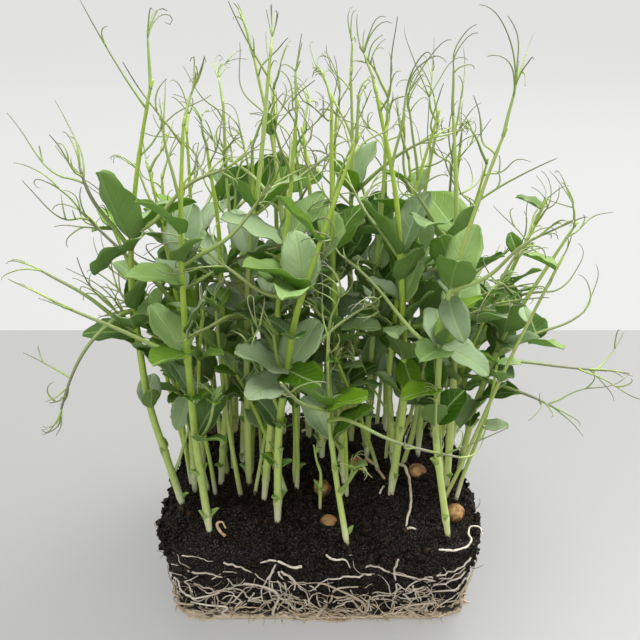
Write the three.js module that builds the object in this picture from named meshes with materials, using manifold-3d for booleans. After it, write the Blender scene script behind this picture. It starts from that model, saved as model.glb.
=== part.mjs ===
// Pea shoots growing from a slab of potting soil, as lifted out of their tray.
// Semi-leafless peas: thin stems with pairs of oval leaves, and sprays of forked tendrils on top.
// The slab stands on the felt of roots that filled the bottom of the tray.
// Millimetres, +Z up, -Y is the front. The origin is the middle of the flat underside.
import * as THREE from "three";
import { mergeVertices } from "three/addons/utils/BufferGeometryUtils.js";
import Module from "manifold-3d";

const wasm = await Module();
wasm.setup();

// Driving dimensions
const SLAB = { width: 122, depth: 90, height: 38, taper: 4.5, corner: 13 };
const MAT = { height: 4, lip: 1.6 };
const GAP = 0.3; // between pieces that touch
const STEM = { foot: 1.6, top: 1.0, buried: 11, wiggle: 0.7 };
const BLADE = { length: 19, aspect: 0.33, thickness: 0.7 };
const TENDRIL = { root: 0.38, length: 24 };
const STALK = { root: 0.52, end: 0.4, length: 38 };
const ROOTLET = { root: 0.8, end: 0.4, count: 24 };
const SEED = 7.3;

// One row for each shoot, counted from the front: its foot on the soil (x, y), its top (x, y, z),
// how far its middle bows sideways (x, y), and the way its lowest leaf points (degrees from +X).
const SHOOTS = [
  [-53, -23, -48, -24, 196, -13, 0, 190],
  [-40, -40, -37, -40, 188, -4, -2, 200],
  [-16, -31, 12, -32, 182, -9, -2, 20],
  [10, -40, 3, -34, 122, -3, 0, 80],
  [47, -39, 52, -39, 185, -12, 1, 150],
  [-22, -19, -6, -20, 190, -1, 0, 250],
  [-50, -14, -57, -8, 168, 4, 2, 160],
  [0, -24, -3, -20, 66, 2, 0, 90],
  [-29, -7, -14, -9, 204, -4, -3, 215],
  [-41, -5, -37, -2, 174, 3, 2, 340],
  [-10, -8, -21, 3, 203, 5, 0, 300],
  [28, -16, 17, -17, 194, 7, -1, 290],
  [51, -11, 41, -12, 187, 3, 0, 20],
  [10, -10, 4, -8, 190, -2, 0, 250],
  [-50, 6, -46, 6, 178, 1, 2, 210],
  [-33, 7, -34, 10, 162, 3, 0, 30],
  [-19, 12, -25, 15, 172, -1, 2, 120],
  [1, 5, -6, 6, 178, 2, 0, 200],
  [20, 8, 23, 7, 190, 0, 2, 320],
  [31, 2, 39, 2, 184, -7, 1, 260],
  [42, 9, 31, 12, 168, 4, 2, 340],
  [59, 4, 92, 2, 146, -8, 0, 350],
  [58, 19, 83, 18, 142, -6, 0, 60],
  [14, 20, 11, 19, 196, 0, 3, 140],
  [-52, 22, -60, 24, 158, -2, 0, 170],
  [-39, 29, -36, 27, 184, 2, 2, 250],
  [-21, 31, -17, 30, 190, 1, 0, 100],
  [-5, 22, -9, 23, 170, 2, -1, 60],
  [3, 36, 7, 36, 180, -2, 0, 80],
  [22, 32, 25, 33, 174, 2, 0, 30],
  [36, 22, 43, 24, 178, -2, 2, 280],
  [46, 35, 55, 36, 168, 0, 0, 20],
  [51, 26, 60, 13, 166, -4, 0, 330],
];
const SHORT = 110; // a shoot whose top is lower than this has no leaves yet
const LEAF_NODES = [0.48, 0.68]; // shares of the height
const PAIRED = 0.36; // the share of the stalks that bear a pair of leaflets
const NODE_HEIGHT = 2; // from a stalk up to the pair of leaves over it
const TENDRIL_NODES = [0.86, 0.95];

// The stalks that reach far out of the stand: the shoot, the share of its height, the way that the
// stalk sets out (degrees from +X, degrees up), its reach, and how far it curls (x, y, z).
const LONG_STALKS = [
  [7, 0.61, 205, 54, 50, 0, 2, -2],
  [1, 0.53, 211, 14, 31, 2, 0, -37],
  [7, 0.38, 220, 58, 40, -2, 0, 2],
  [1, 0.67, 212, 72, 36, 6, 2, -3],
  [13, 0.38, -8, 14, 53, 3, 0, -12],
  [22, 0.41, -52, 14, 30, 3, 3, -7],
  [4, 0.6, -78, 36, 34, 34, 6, -22],
];

// The large leaves at the front: the shoot, the share of its height, the way that the leaf points
// (degrees from +X, degrees up) and its length.
const LARGE_LEAVES = [
  [1, 0.69, -128, 72, 25],
  [1, 0.68, 157, -19, 17],
  [1, 0.67, -60, 50, 15],
  [1, 0.48, 205, 24, 18],
  [1, 0.44, -30, -16, 18],
  [7, 0.34, -105, -33, 14],
  [2, 0.78, -121, 52, 19],
  [2, 0.67, -150, 30, 17],
  [2, 0.66, 130, 40, 15],
  [13, 0.61, -135, 66, 24],
  [5, 0.65, -75, -30, 15],
  [13, 0.68, -70, 68, 20],
  [12, 0.6, -71, 62, 17],
  [5, 0.54, -20, -20, 18],
  [33, 0.62, -19, 43, 22],
  [23, 0.72, -41, 52, 20],
  [22, 0.6, -97, 66, 22],
  [22, 0.6, 137, 48, 16],
  [33, 0.56, -70, 51, 18],
  [13, 0.42, -118, 60, 20],
  [22, 0.33, -46, 43, 19],
  [22, 0.33, -128, -8, 15],
  [3, 0.67, -150, 44, 23],
  [3, 0.78, -165, 50, 20],
  [3, 0.47, -142, 42, 22],
  [3, 0.45, -120, 12, 21],
  [9, 0.7, -142, 56, 18],
  [12, 0.4, -110, 60, 19],
  [12, 0.4, -75, -25, 15],
  [20, 0.73, -149, 51, 19],
];

// Peas that lie on the soil: middle (x, y), and the turn about Z in degrees
const PEAS = [
  [15, -1, 20],
  [52, -26, 70],
  [1, -11, 100],
  [3, -31, 40],
  [-30, -31, 150],
  [40, -2, 10],
];

const UP = new THREE.Vector3(0, 0, 1);
const range = (count) => Array.from({ length: count + 1 }, (_, i) => i / count);
const radians = THREE.MathUtils.degToRad;

// A repeatable number from 0 to 1 for each place on the plants.
function draw(...keys) {
  const sum = keys.reduce((total, key, i) => total + key * (12.9898 + 37.719 * i), 4.1);
  const wave = Math.sin(sum) * 43758.5453;
  return wave - Math.floor(wave);
}
const between = (low, high, ...keys) => low + (high - low) * draw(...keys);

function heading(azimuth, elevation) {
  const [a, e] = [radians(azimuth), radians(elevation)];
  return new THREE.Vector3(Math.cos(a) * Math.cos(e), Math.sin(a) * Math.cos(e), Math.sin(e));
}

const soilTop = (x, y) =>
  SLAB.height + 2.6 * Math.sin(x / 17 + 0.6) * Math.cos(y / 14 - 0.4) + 1.4 * Math.sin(x / 6 + y / 8);

// The slab's outline at a height, as a rounded rectangle. turn runs once round from 0 to 1.
function outline(turn, z, inset = 0) {
  const a = 2 * Math.PI * turn;
  const shrink = SLAB.taper * (1 - z / SLAB.height) + inset;
  const [w, d] = [SLAB.width / 2 - shrink, SLAB.depth / 2 - shrink];
  const r = SLAB.corner;
  const [c, s] = [Math.cos(a), Math.sin(a)];
  const squareness = 0.22; // pulls the points of an ellipse out towards the corners
  const reach = 1 / Math.max(Math.abs(c), Math.abs(s), 0.76 + squareness * Math.abs(Math.abs(c) - Math.abs(s)));
  const x = c * reach * w;
  const y = s * reach * d;
  const over = Math.hypot(Math.max(Math.abs(x) - w + r, 0), Math.max(Math.abs(y) - d + r, 0));
  const pull = over > r ? r / over : 1;
  const rounded = (v, half) => (Math.abs(v) > half - r ? Math.sign(v) * (half - r + (Math.abs(v) - half + r) * pull) : v);
  return [rounded(x, w), rounded(y, d)];
}

function geometryOf(points, triangles) {
  const made = new THREE.BufferGeometry();
  made.setAttribute("position", new THREE.Float32BufferAttribute(points.flatMap((p) => [p.x, p.y, p.z]), 3));
  made.setIndex(triangles);
  return made;
}

// A closed solid through rings of points, from a first to a last middle point.
function loft(first, rings, last) {
  const n = rings[0].length;
  const points = [first, ...rings.flat(), last];
  const at = (ring, i) => 1 + ring * n + (i % n);
  const triangles = [];
  for (let i = 0; i < n; i++) {
    triangles.push(0, at(0, i + 1), at(0, i));
    for (let ring = 1; ring < rings.length; ring++) {
      triangles.push(at(ring - 1, i), at(ring - 1, i + 1), at(ring, i + 1));
      triangles.push(at(ring - 1, i), at(ring, i + 1), at(ring, i));
    }
    triangles.push(at(rings.length - 1, i), at(rings.length - 1, i + 1), points.length - 1);
  }
  return geometryOf(points, triangles);
}

// A tube of few sides through points, with a radius at each. It narrows to a point at the last one.
function tube(points, radius, sides) {
  const tangents = points.map((p, i) => {
    const [before, after] = [points[Math.max(i - 1, 0)], points[Math.min(i + 1, points.length - 1)]];
    return after.clone().sub(before).normalize();
  });
  let across = new THREE.Vector3(1, 0.3, 0.1);
  const rings = points.slice(0, -1).map((p, i) => {
    across = across.clone().addScaledVector(tangents[i], -across.dot(tangents[i])).normalize();
    const other = tangents[i].clone().cross(across);
    const r = radius(i);
    return Array.from({ length: sides }, (_, k) => {
      const a = (2 * Math.PI * k) / sides;
      return p.clone().addScaledVector(across, r * Math.cos(a)).addScaledVector(other, r * Math.sin(a));
    });
  });
  return loft(points[0], rings, points.at(-1));
}

function solid(geometry) {
  const bare = geometry.clone();
  bare.deleteAttribute("normal");
  bare.deleteAttribute("uv");
  const merged = mergeVertices(bare, 1e-4);
  return new wasm.Manifold(
    new wasm.Mesh({
      numProp: 3,
      vertProperties: new Float32Array(merged.attributes.position.array),
      triVerts: new Uint32Array(merged.index.array),
    }),
  );
}

// The largest single body of a solid, as a geometry.
function geometryFrom(whole) {
  const bodies = whole.decompose().sort((a, b) => b.volume() - a.volume());
  const mesh = bodies[0].getMesh();
  const made = new THREE.BufferGeometry();
  made.setAttribute("position", new THREE.BufferAttribute(new Float32Array(mesh.vertProperties), 3));
  made.setIndex(new THREE.BufferAttribute(new Uint32Array(mesh.triVerts), 1));
  return made;
}

// Where things grow. Each leaf, stalk and tendril is first only described, as a list of small balls
// that it fills, so that it can be bent clear of its neighbours before it is made.
const CELL = 5;
const taken = new Map();
const cellOf = (p, dx = 0, dy = 0, dz = 0) =>
  `${Math.floor(p.x / CELL) + dx},${Math.floor(p.y / CELL) + dy},${Math.floor(p.z / CELL) + dz}`;

function claim(owner, balls) {
  for (const ball of balls) {
    const key = cellOf(ball.p);
    if (!taken.has(key)) taken.set(key, []);
    taken.get(key).push({ owner, ...ball });
  }
}

const CLEARANCE = 0.6;
const JOINT = 3; // a piece may touch its own shoot this near to where it grows
const LOWEST_LEAF = 6; // above the soil

function isClear(owner, from, balls) {
  const around = [-1, 0, 1];
  return balls.every(({ p, r }) => {
    const atJoint = p.distanceTo(from) < JOINT;
    const overSoil = Math.abs(p.x) < SLAB.width / 2 + 6 && Math.abs(p.y) < SLAB.depth / 2 + 6;
    if (p.z < (overSoil ? SLAB.height + LOWEST_LEAF : LOWEST_LEAF)) return false;
    return around.every((dx) =>
      around.every((dy) =>
        around.every((dz) =>
          (taken.get(cellOf(p, dx, dy, dz)) ?? []).every(
            (other) =>
              other.owner === owner
                ? atJoint || other.p.distanceTo(p) > other.r + r
                : other.p.distanceTo(p) > other.r + r + CLEARANCE,
          ),
        ),
      ),
    );
  });
}

// Turns a piece to one side and the other, up and down, then shortens it, until it is clear.
const TURNS = [0, 18, -18, 36, -36, 56, -56];
const TILTS = [0, 14, -14];
const SIZES = [1, 0.75];

function fitted(owner, describe) {
  for (const size of SIZES)
    for (const turn of TURNS)
      for (const tilt of TILTS) {
        const piece = describe(turn, tilt, size);
        if (isClear(owner, piece.point(0, 0), piece.balls)) {
          claim(owner, piece.balls);
          return piece;
        }
      }
  return null;
}

function stemPoint(row, t) {
  const [x, y, topX, topY, topZ, bowX, bowY] = row;
  const foot = soilTop(x, y);
  if (t < 0) return new THREE.Vector3(x, y, foot + t * (topZ - foot));
  const bow = 4 * t * (1 - t);
  const sway = STEM.wiggle * Math.sin(15 * t + x) * Math.min(1, 6 * t);
  return new THREE.Vector3(
    x + (topX - x) * t + bowX * bow + sway,
    y + (topY - y) * t + bowY * bow + sway * 0.6,
    foot + (topZ - foot) * t,
  );
}

// The shares of its height at which a stem has its corners. It narrows to its tip from the last but one.
const STEM_CORNERS = [0, 0.3, 0.6, 0.8, 0.97, 1];

// A point on the straight lines from corner to corner
function along(corners, pointAt, t) {
  const next = Math.max(1, corners.findIndex((corner) => corner >= t));
  const [low, high] = [corners[next - 1], corners[next]];
  return pointAt(low).lerp(pointAt(high), (t - low) / (high - low));
}
const stemAxis = (row, t) => along(STEM_CORNERS, (share) => stemPoint(row, share), t);

const girth = (shoot) => between(0.8, 1.05, shoot, 1) * (SHOOTS[shoot][4] < SHORT ? 0.7 : 1);
const stemRadius = (shoot, t) => girth(shoot) * THREE.MathUtils.lerp(STEM.foot, STEM.top, Math.max(t, 0));

// A stalk or tendril, in straight lines: it sets out along a heading and curls away from it.
function strand(from, direction, length, curl, root, end) {
  const corners = range(length + curl.length() > 50 ? 4 : length > 32 ? 3 : 2);
  const onCurve = (s) => from.clone().addScaledVector(direction, length * s).addScaledVector(curl, s * s);
  const point = (s) => along(corners, onCurve, s);
  const count = Math.ceil(length / 1.2);
  const balls = [];
  for (let i = 2; i <= count; i++) balls.push({ p: point(i / count), r: root });
  return { kind: "strand", point, corners, root, end, balls };
}

const bladeWidth = (s) => Math.sin(Math.PI * Math.min(s, 1) ** 0.85) ** 0.6;

// An oval leaf blade that sets out along a heading. Its edges stand up and its tip bends back.
function blade(from, along, length, keys) {
  const normal = UP.clone().addScaledVector(along, -UP.dot(along)).normalize();
  normal.applyAxisAngle(along, radians(between(-25, 25, ...keys, 5)));
  const across = normal.clone().cross(along);
  const half = length * BLADE.aspect * between(0.88, 1.12, ...keys, 6);
  const [cup, bend] = [between(0.15, 0.45, ...keys, 7), between(0.02, 0.28, ...keys, 8)];
  const point = (s, u) => {
    const wide = half * bladeWidth(s);
    return from
      .clone()
      .addScaledVector(along, length * s)
      .addScaledVector(across, wide * u)
      .addScaledVector(normal, cup * wide * u * u - bend * length * s * s);
  };
  const balls = [];
  const steps = Math.ceil(length / 2.2);
  for (let i = 1; i <= steps; i++)
    for (const u of [-1, -0.66, -0.33, 0, 0.33, 0.66, 1])
      if (i / steps > 0.12) balls.push({ p: point(i / steps, u), r: 0.5 });
  return { kind: "blade", point, normal, balls };
}

const shoots = SHOOTS.map((row) => ({ row, pieces: [] }));

// The stems come first, then all the leaves, then the tendrils.
function growStems() {
  shoots.forEach(({ row }, shoot) => {
    const balls = [];
    for (let i = 0; i <= 120; i++) balls.push({ p: stemAxis(row, i / 120), r: stemRadius(shoot, i / 120) });
    claim(shoot, balls);
  });
}

function growLeaf(shoot, node, item, from, azimuth, elevation, length) {
  const piece = fitted(shoot, (turn, tilt, size) =>
    blade(from, heading(azimuth + turn, elevation + tilt), length * size, [shoot, node, item]),
  );
  if (piece) shoots[shoot].pieces.push(piece);
}

function growStrand(shoot, from, azimuth, elevation, length, curl, root, end) {
  const piece = fitted(shoot, (turn, tilt, size) =>
    strand(from, heading(azimuth + turn, elevation + tilt), length * size, curl, root, end),
  );
  if (piece) shoots[shoot].pieces.push(piece);
  return piece;
}

const leafAzimuth = (row, shoot, node) => row[7] + 180 * node + between(-25, 25, shoot, node, 2);

// The stalks and leaves that have a place of their own come before the others.
function growPlaced() {
  LONG_STALKS.forEach(([number, share, azimuth, elevation, reach, ...curl], i) => {
    const shoot = number - 1;
    const from = stemAxis(SHOOTS[shoot], share);
    const stalk = growStrand(shoot, from, azimuth, elevation, reach, new THREE.Vector3(...curl), STALK.root, STALK.end);
    if (!stalk) return;
    for (const side of [-1, 1])
      growTendril(shoot, 50 + i, side + 2, stalk.point(0.86 + 0.05 * side), azimuth + side * between(30, 60, i, side),
        elevation * 0.5 + between(-10, 25, i, side, 2));
  });
  LARGE_LEAVES.forEach(([number, share, azimuth, elevation, length], i) =>
    growLeaf(number - 1, 60 + i, 0, stemAxis(SHOOTS[number - 1], share), azimuth, elevation, length),
  );
}

function growLeaves() {
  shoots.forEach(({ row }, shoot) => {
    if (row[4] < SHORT) return;
    LEAF_NODES.forEach((share, node) => {
      const from = stemAxis(row, share + between(-0.04, 0.04, shoot, node, 1));
      const azimuth = leafAzimuth(row, shoot, node);
      const length = BLADE.length * between(0.8, 1.18, shoot, node, 3);
      for (const side of [-1, 1]) {
        const way = azimuth + side * between(45, 75, shoot, node, side + 5);
        const root = from.clone().addScaledVector(heading(way, 0), STEM.top * 0.6);
        root.z += NODE_HEIGHT;
        growLeaf(shoot, node, side + 2, root, way, between(30, 62, shoot, node, side + 7), length);
      }
      const stalk = growStrand(shoot, from, azimuth, between(25, 60, shoot, node, 9),
        STALK.length * between(0.7, 1.15, shoot, node, 10),
        new THREE.Vector3(0, 0, between(-9, 11, shoot, node, 11)), STALK.root, STALK.end);
      if (stalk && draw(shoot, node, 12) < PAIRED)
        for (const side of [-1, 1])
          growLeaf(shoot, node, side + 12, stalk.point(0.44 + 0.05 * side), azimuth + side * 62,
            between(15, 45, shoot, node, side + 14), length * 0.85);
    });
  });
}

function growTendril(shoot, node, item, from, azimuth, elevation) {
  const curl = heading(azimuth + 90, 0).multiplyScalar(between(-8, 8, shoot, node, item, 3));
  curl.z = between(-6, 8, shoot, node, item, 4);
  growStrand(shoot, from, azimuth, elevation, TENDRIL.length * between(0.6, 1.25, shoot, node, item, 5), curl,
    TENDRIL.root, TENDRIL.root * 0.5);
}

function growTendrils() {
  shoots.forEach(({ row }, shoot) => {
    if (row[4] < SHORT) return;
    TENDRIL_NODES.forEach((share, k) => {
      const azimuth = leafAzimuth(row, shoot, 3 + k);
      growTendril(shoot, 3 + k, 31, stemAxis(row, share), azimuth, between(35, 65, shoot, k, 32));
    });
  });
}

const SLIVER = 0.05; // edges shorter than this are merged after a union
const STEM_SIDES = 4;
const THIN_SIDES = 3;

const buriedShare = ({ row }, extra) => (STEM.buried + extra) / (row[4] - soilTop(row[0], row[1]));

function stemSolid(shoot) {
  const { row } = shoots[shoot];
  const shares = [-buriedShare(shoots[shoot], 0), ...STEM_CORNERS];
  return solid(tube(shares.map((t) => stemPoint(row, t)), (i) => stemRadius(shoot, shares[i]), STEM_SIDES));
}

// A plain hole for the foot of a stem, up to a little over the soil.
function holeSolid(shoot) {
  const { row } = shoots[shoot];
  const points = [-buriedShare(shoots[shoot], GAP), 0, 0.06, 0.08].map((t) => stemPoint(row, t));
  return solid(tube(points, () => stemRadius(shoot, 0) + GAP * 2, STEM_SIDES));
}

function strandSolid({ point, corners, root, end }) {
  return solid(tube(corners.map(point), (i) => THREE.MathUtils.lerp(root, end, corners[i]), THIN_SIDES));
}

// A blade in facets: a six-cornered rim round one raised or sunken middle point on each face.
const ROWS = [0.25, 0.72];

function bladeSolid({ point, normal }) {
  const rim = [point(0, 0), ...ROWS.map((s) => point(s, -1)), point(1, 0), ...ROWS.toReversed().map((s) => point(s, 1))];
  const middle = point(0.5, 0);
  const shift = (p, way) => p.clone().addScaledVector(normal, (way * BLADE.thickness) / 2);
  const faces = [-1, 1].map((way) => rim.map((p) => shift(p, way)));
  return solid(loft(shift(middle, -1), faces, shift(middle, 1)));
}

function shootSolid(shoot) {
  const parts = shoots[shoot].pieces.map((piece) => (piece.kind === "blade" ? bladeSolid(piece) : strandSolid(piece)));
  return wasm.Manifold.union([stemSolid(shoot), ...parts]).simplify(SLIVER);
}

// The felt of roots: a low slab, with roots that climb the slab of soil on all four sides.
function rootMat() {
  const corners = 24;
  const ring = (z, inset) =>
    range(corners).slice(0, -1).map((turn, i) => {
      const [x, y] = outline(turn, 0, inset - MAT.lip + between(-0.5, 0.5, i, 60));
      return new THREE.Vector3(x, y, z);
    });
  const slab = solid(
    loft(new THREE.Vector3(), [ring(0, 0.8), ring(MAT.height * 0.45, 0), ring(MAT.height, 1.2)],
      new THREE.Vector3(0, 0, MAT.height)),
  );
  return wasm.Manifold.union([slab, ...range(ROOTLET.count).slice(0, -1).map(rootletSolid)]);
}

// A root's way up the side of the slab: it climbs quickly, then runs along the side.
function rootletSolid(start, index) {
  const climb = between(6, 24, index, 71);
  const drift = between(-0.07, 0.07, index, 72);
  const points = range(4).map((s) => {
    const z = MAT.height * 0.5 + climb * Math.sin((s * Math.PI) / 2);
    const [x, y] = outline(start + drift * s * s + 0.006 * Math.sin(7 * s + index), z, -(ROOTLET.root + GAP + 0.35));
    return new THREE.Vector3(x, y, z);
  });
  const radius = (i) => THREE.MathUtils.lerp(ROOTLET.root, ROOTLET.end, i / points.length);
  return solid(tube(points, radius, THIN_SIDES));
}

function peaSolid([x, y, turn], extra = 0) {
  const pea = new THREE.SphereGeometry(SEED / 2 + extra, 8, 5);
  pea.scale(1.12, 0.95, 0.92);
  pea.rotateZ(radians(turn));
  pea.translate(x, y, soilTop(x, y) + SEED * 0.16);
  return solid(pea);
}

// The slab of soil, with an uneven top, a hole for each stem and a dent for each pea.
function soilBlock() {
  const corners = 26;
  const turns = range(corners).slice(0, -1);
  const side = (z, inset) =>
    turns.map((turn) => {
      const [x, y] = outline(turn, z, inset);
      return new THREE.Vector3(x, y, z);
    });
  const top = (share) =>
    turns.map((turn) => {
      const [x, y] = outline(turn, SLAB.height, 0);
      return new THREE.Vector3(x * share, y * share, soilTop(x * share, y * share) - 2.4 * share ** 12);
    });
  const floor = MAT.height + GAP;
  const body = solid(
    loft(new THREE.Vector3(0, 0, floor),
      [side(floor, 0), side(18, 0), side(SLAB.height - 6, 0), ...[0.98, 0.84, 0.45].map(top)],
      new THREE.Vector3(0, 0, soilTop(0, 0))),
  );
  const holes = shoots.map((_, shoot) => holeSolid(shoot));
  const dents = PEAS.map((pea) => peaSolid(pea, GAP * 1.3));
  return body.subtract(wasm.Manifold.union([...holes, ...dents]));
}

function material(color, roughness) {
  return new THREE.MeshStandardMaterial({ color, roughness, metalness: 0 });
}

const materials = {
  soil: material(0x1d1712, 1),
  roots: material(0xcdbd98, 0.8),
  green: material(0x5f8f45, 0.6),
  pea: material(0xb98544, 0.7),
};

const plant = new THREE.Group();

function add(name, whole, finish) {
  const mesh = new THREE.Mesh(geometryFrom(whole), finish);
  mesh.name = name;
  plant.add(mesh);
}

growStems();
growPlaced();
growLeaves();
growTendrils();
add("soil_block", soilBlock(), materials.soil);
add("root_mat", rootMat(), materials.roots);
PEAS.forEach((pea, i) => add(`pea_${i + 1}`, peaSolid(pea), materials.pea));
shoots.forEach((_, shoot) => add(`shoot_${String(shoot + 1).padStart(2, "0")}`, shootSolid(shoot), materials.green));

export default plant;
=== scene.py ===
# Pea shoots in a slab of potting soil: the looks of every piece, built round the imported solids.
# The rule of growth is that of the solids, so a stem, leaf or stalk here lies where its solid lies.
# Growth is worked out in millimetres, and a finished mesh is scaled to metres.
import math

import bpy
import numpy as np
from mathutils import Matrix, Vector, noise


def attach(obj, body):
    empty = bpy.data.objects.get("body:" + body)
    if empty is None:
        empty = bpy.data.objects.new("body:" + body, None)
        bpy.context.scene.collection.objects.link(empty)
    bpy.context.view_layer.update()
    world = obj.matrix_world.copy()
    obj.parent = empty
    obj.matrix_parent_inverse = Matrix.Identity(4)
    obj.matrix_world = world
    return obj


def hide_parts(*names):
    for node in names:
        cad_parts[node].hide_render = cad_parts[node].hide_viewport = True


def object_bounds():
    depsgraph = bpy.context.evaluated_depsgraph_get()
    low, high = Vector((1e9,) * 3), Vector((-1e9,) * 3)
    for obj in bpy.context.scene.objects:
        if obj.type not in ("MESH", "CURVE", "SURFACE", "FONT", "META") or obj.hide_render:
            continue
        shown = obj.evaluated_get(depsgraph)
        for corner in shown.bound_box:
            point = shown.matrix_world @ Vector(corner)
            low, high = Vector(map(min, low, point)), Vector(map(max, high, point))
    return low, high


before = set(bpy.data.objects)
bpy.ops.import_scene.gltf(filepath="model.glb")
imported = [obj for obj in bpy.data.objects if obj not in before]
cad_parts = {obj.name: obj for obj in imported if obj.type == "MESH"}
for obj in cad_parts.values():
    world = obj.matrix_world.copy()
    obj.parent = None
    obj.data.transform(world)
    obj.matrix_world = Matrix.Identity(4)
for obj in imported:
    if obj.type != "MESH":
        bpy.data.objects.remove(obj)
cad_low, cad_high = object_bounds()

MM = 0.001
BOX_LOW, BOX_HIGH = (np.array(corner) / MM for corner in (cad_low, cad_high))
BOX_LOW, BOX_HIGH = BOX_LOW + (0.05, 0.05, 0), BOX_HIGH - 0.05
REACH_LOW, REACH_HIGH = BOX_LOW + 0.7, BOX_HIGH - 0.7

# Driving dimensions, as in the solids
WIDTH, DEPTH, HEIGHT, TAPER, CORNER = 122, 90, 38, 4.5, 13
MAT_HEIGHT, MAT_LIP = 4, 1.6
STEM_FOOT, STEM_TOP, STEM_WIGGLE = 1.6, 1.0, 0.7
BLADE_LENGTH, BLADE_ASPECT = 19, 0.33
TENDRIL_ROOT, TENDRIL_LENGTH = 0.38, 24
STALK_ROOT, STALK_LENGTH = 0.52, 38
SEED = 7.3

# One row for each shoot, counted from the front: its foot on the soil (x, y), its top (x, y, z),
# how far its middle bows sideways (x, y), and the way its lowest leaf points (degrees from +X).
SHOOTS = [
    (-53, -23, -48, -24, 196, -13, 0, 190),
    (-40, -40, -37, -40, 188, -4, -2, 200),
    (-16, -31, 12, -32, 182, -9, -2, 20),
    (10, -40, 3, -34, 122, -3, 0, 80),
    (47, -39, 52, -39, 185, -12, 1, 150),
    (-22, -19, -6, -20, 190, -1, 0, 250),
    (-50, -14, -57, -8, 168, 4, 2, 160),
    (0, -24, -3, -20, 66, 2, 0, 90),
    (-29, -7, -14, -9, 204, -4, -3, 215),
    (-41, -5, -37, -2, 174, 3, 2, 340),
    (-10, -8, -21, 3, 203, 5, 0, 300),
    (28, -16, 17, -17, 194, 7, -1, 290),
    (51, -11, 41, -12, 187, 3, 0, 20),
    (10, -10, 4, -8, 190, -2, 0, 250),
    (-50, 6, -46, 6, 178, 1, 2, 210),
    (-33, 7, -34, 10, 162, 3, 0, 30),
    (-19, 12, -25, 15, 172, -1, 2, 120),
    (1, 5, -6, 6, 178, 2, 0, 200),
    (20, 8, 23, 7, 190, 0, 2, 320),
    (31, 2, 39, 2, 184, -7, 1, 260),
    (42, 9, 31, 12, 168, 4, 2, 340),
    (59, 4, 92, 2, 146, -8, 0, 350),
    (58, 19, 83, 18, 142, -6, 0, 60),
    (14, 20, 11, 19, 196, 0, 3, 140),
    (-52, 22, -60, 24, 158, -2, 0, 170),
    (-39, 29, -36, 27, 184, 2, 2, 250),
    (-21, 31, -17, 30, 190, 1, 0, 100),
    (-5, 22, -9, 23, 170, 2, -1, 60),
    (3, 36, 7, 36, 180, -2, 0, 80),
    (22, 32, 25, 33, 174, 2, 0, 30),
    (36, 22, 43, 24, 178, -2, 2, 280),
    (46, 35, 55, 36, 168, 0, 0, 20),
    (51, 26, 60, 13, 166, -4, 0, 330),
]
SHORT = 110
YOUNG = 140
LEAF_NODES = (0.48, 0.68)
PAIRED = 0.36
NODE_HEIGHT = 2
TENDRIL_NODES = (0.86, 0.95)
STEM_CORNERS = (0, 0.3, 0.6, 0.8, 0.97, 1)

# Stalks that reach far out: shoot, share of its height, way it sets out (degrees from +X, degrees
# up), reach, and curl (x, y, z)
LONG_STALKS = [
    (7, 0.61, 205, 54, 50, 0, 2, -2),
    (1, 0.53, 211, 14, 31, 2, 0, -37),
    (7, 0.38, 220, 58, 40, -2, 0, 2),
    (1, 0.67, 212, 72, 36, 6, 2, -3),
    (13, 0.38, -8, 14, 53, 3, 0, -12),
    (22, 0.41, -52, 14, 30, 3, 3, -7),
    (4, 0.6, -78, 36, 34, 34, 6, -22),
]

# Large leaves at the front: shoot, share of its height, way it points (degrees from +X, degrees up), length
LARGE_LEAVES = [
    (1, 0.69, -128, 72, 25),
    (1, 0.68, 157, -19, 17),
    (1, 0.67, -60, 50, 15),
    (1, 0.48, 205, 24, 18),
    (1, 0.44, -30, -16, 18),
    (7, 0.34, -105, -33, 14),
    (2, 0.78, -121, 52, 19),
    (2, 0.67, -150, 30, 17),
    (2, 0.66, 130, 40, 15),
    (13, 0.61, -135, 66, 24),
    (5, 0.65, -75, -30, 15),
    (13, 0.68, -70, 68, 20),
    (12, 0.6, -71, 62, 17),
    (5, 0.54, -20, -20, 18),
    (33, 0.62, -19, 43, 22),
    (23, 0.72, -41, 52, 20),
    (22, 0.6, -97, 66, 22),
    (22, 0.6, 137, 48, 16),
    (33, 0.56, -70, 51, 18),
    (13, 0.42, -118, 60, 20),
    (22, 0.33, -46, 43, 19),
    (22, 0.33, -128, -8, 15),
    (3, 0.67, -150, 44, 23),
    (3, 0.78, -165, 50, 20),
    (3, 0.47, -142, 42, 22),
    (3, 0.45, -120, 12, 21),
    (9, 0.7, -142, 56, 18),
    (12, 0.4, -110, 60, 19),
    (12, 0.4, -75, -25, 15),
    (20, 0.73, -149, 51, 19),
]

# Peas on the soil: middle (x, y), the turn about Z in degrees, and how high the soil is heaped round it
PEAS = [(15, -1, 20, 0.6), (52, -26, 70, 1.0), (1, -11, 100, 1.2), (3, -31, 40, 3.6), (-30, -31, 150, 6.2),
        (40, -2, 10, 2.6)]


# Plain vectors of three numbers

def plus(a, b, k=1.0):
    return (a[0] + b[0] * k, a[1] + b[1] * k, a[2] + b[2] * k)


def scaled(a, k):
    return (a[0] * k, a[1] * k, a[2] * k)


def dot(a, b):
    return a[0] * b[0] + a[1] * b[1] + a[2] * b[2]


def cross(a, b):
    return (a[1] * b[2] - a[2] * b[1], a[2] * b[0] - a[0] * b[2], a[0] * b[1] - a[1] * b[0])


def unit(a):
    return scaled(a, 1 / math.sqrt(dot(a, a)))


def mixed(a, b, k):
    return plus(scaled(a, 1 - k), b, k)


def turned(a, axis, angle):
    """a turned about a unit axis by an angle in radians"""
    c, s = math.cos(angle), math.sin(angle)
    return plus(plus(scaled(a, c), cross(axis, a), s), axis, dot(axis, a) * (1 - c))


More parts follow.
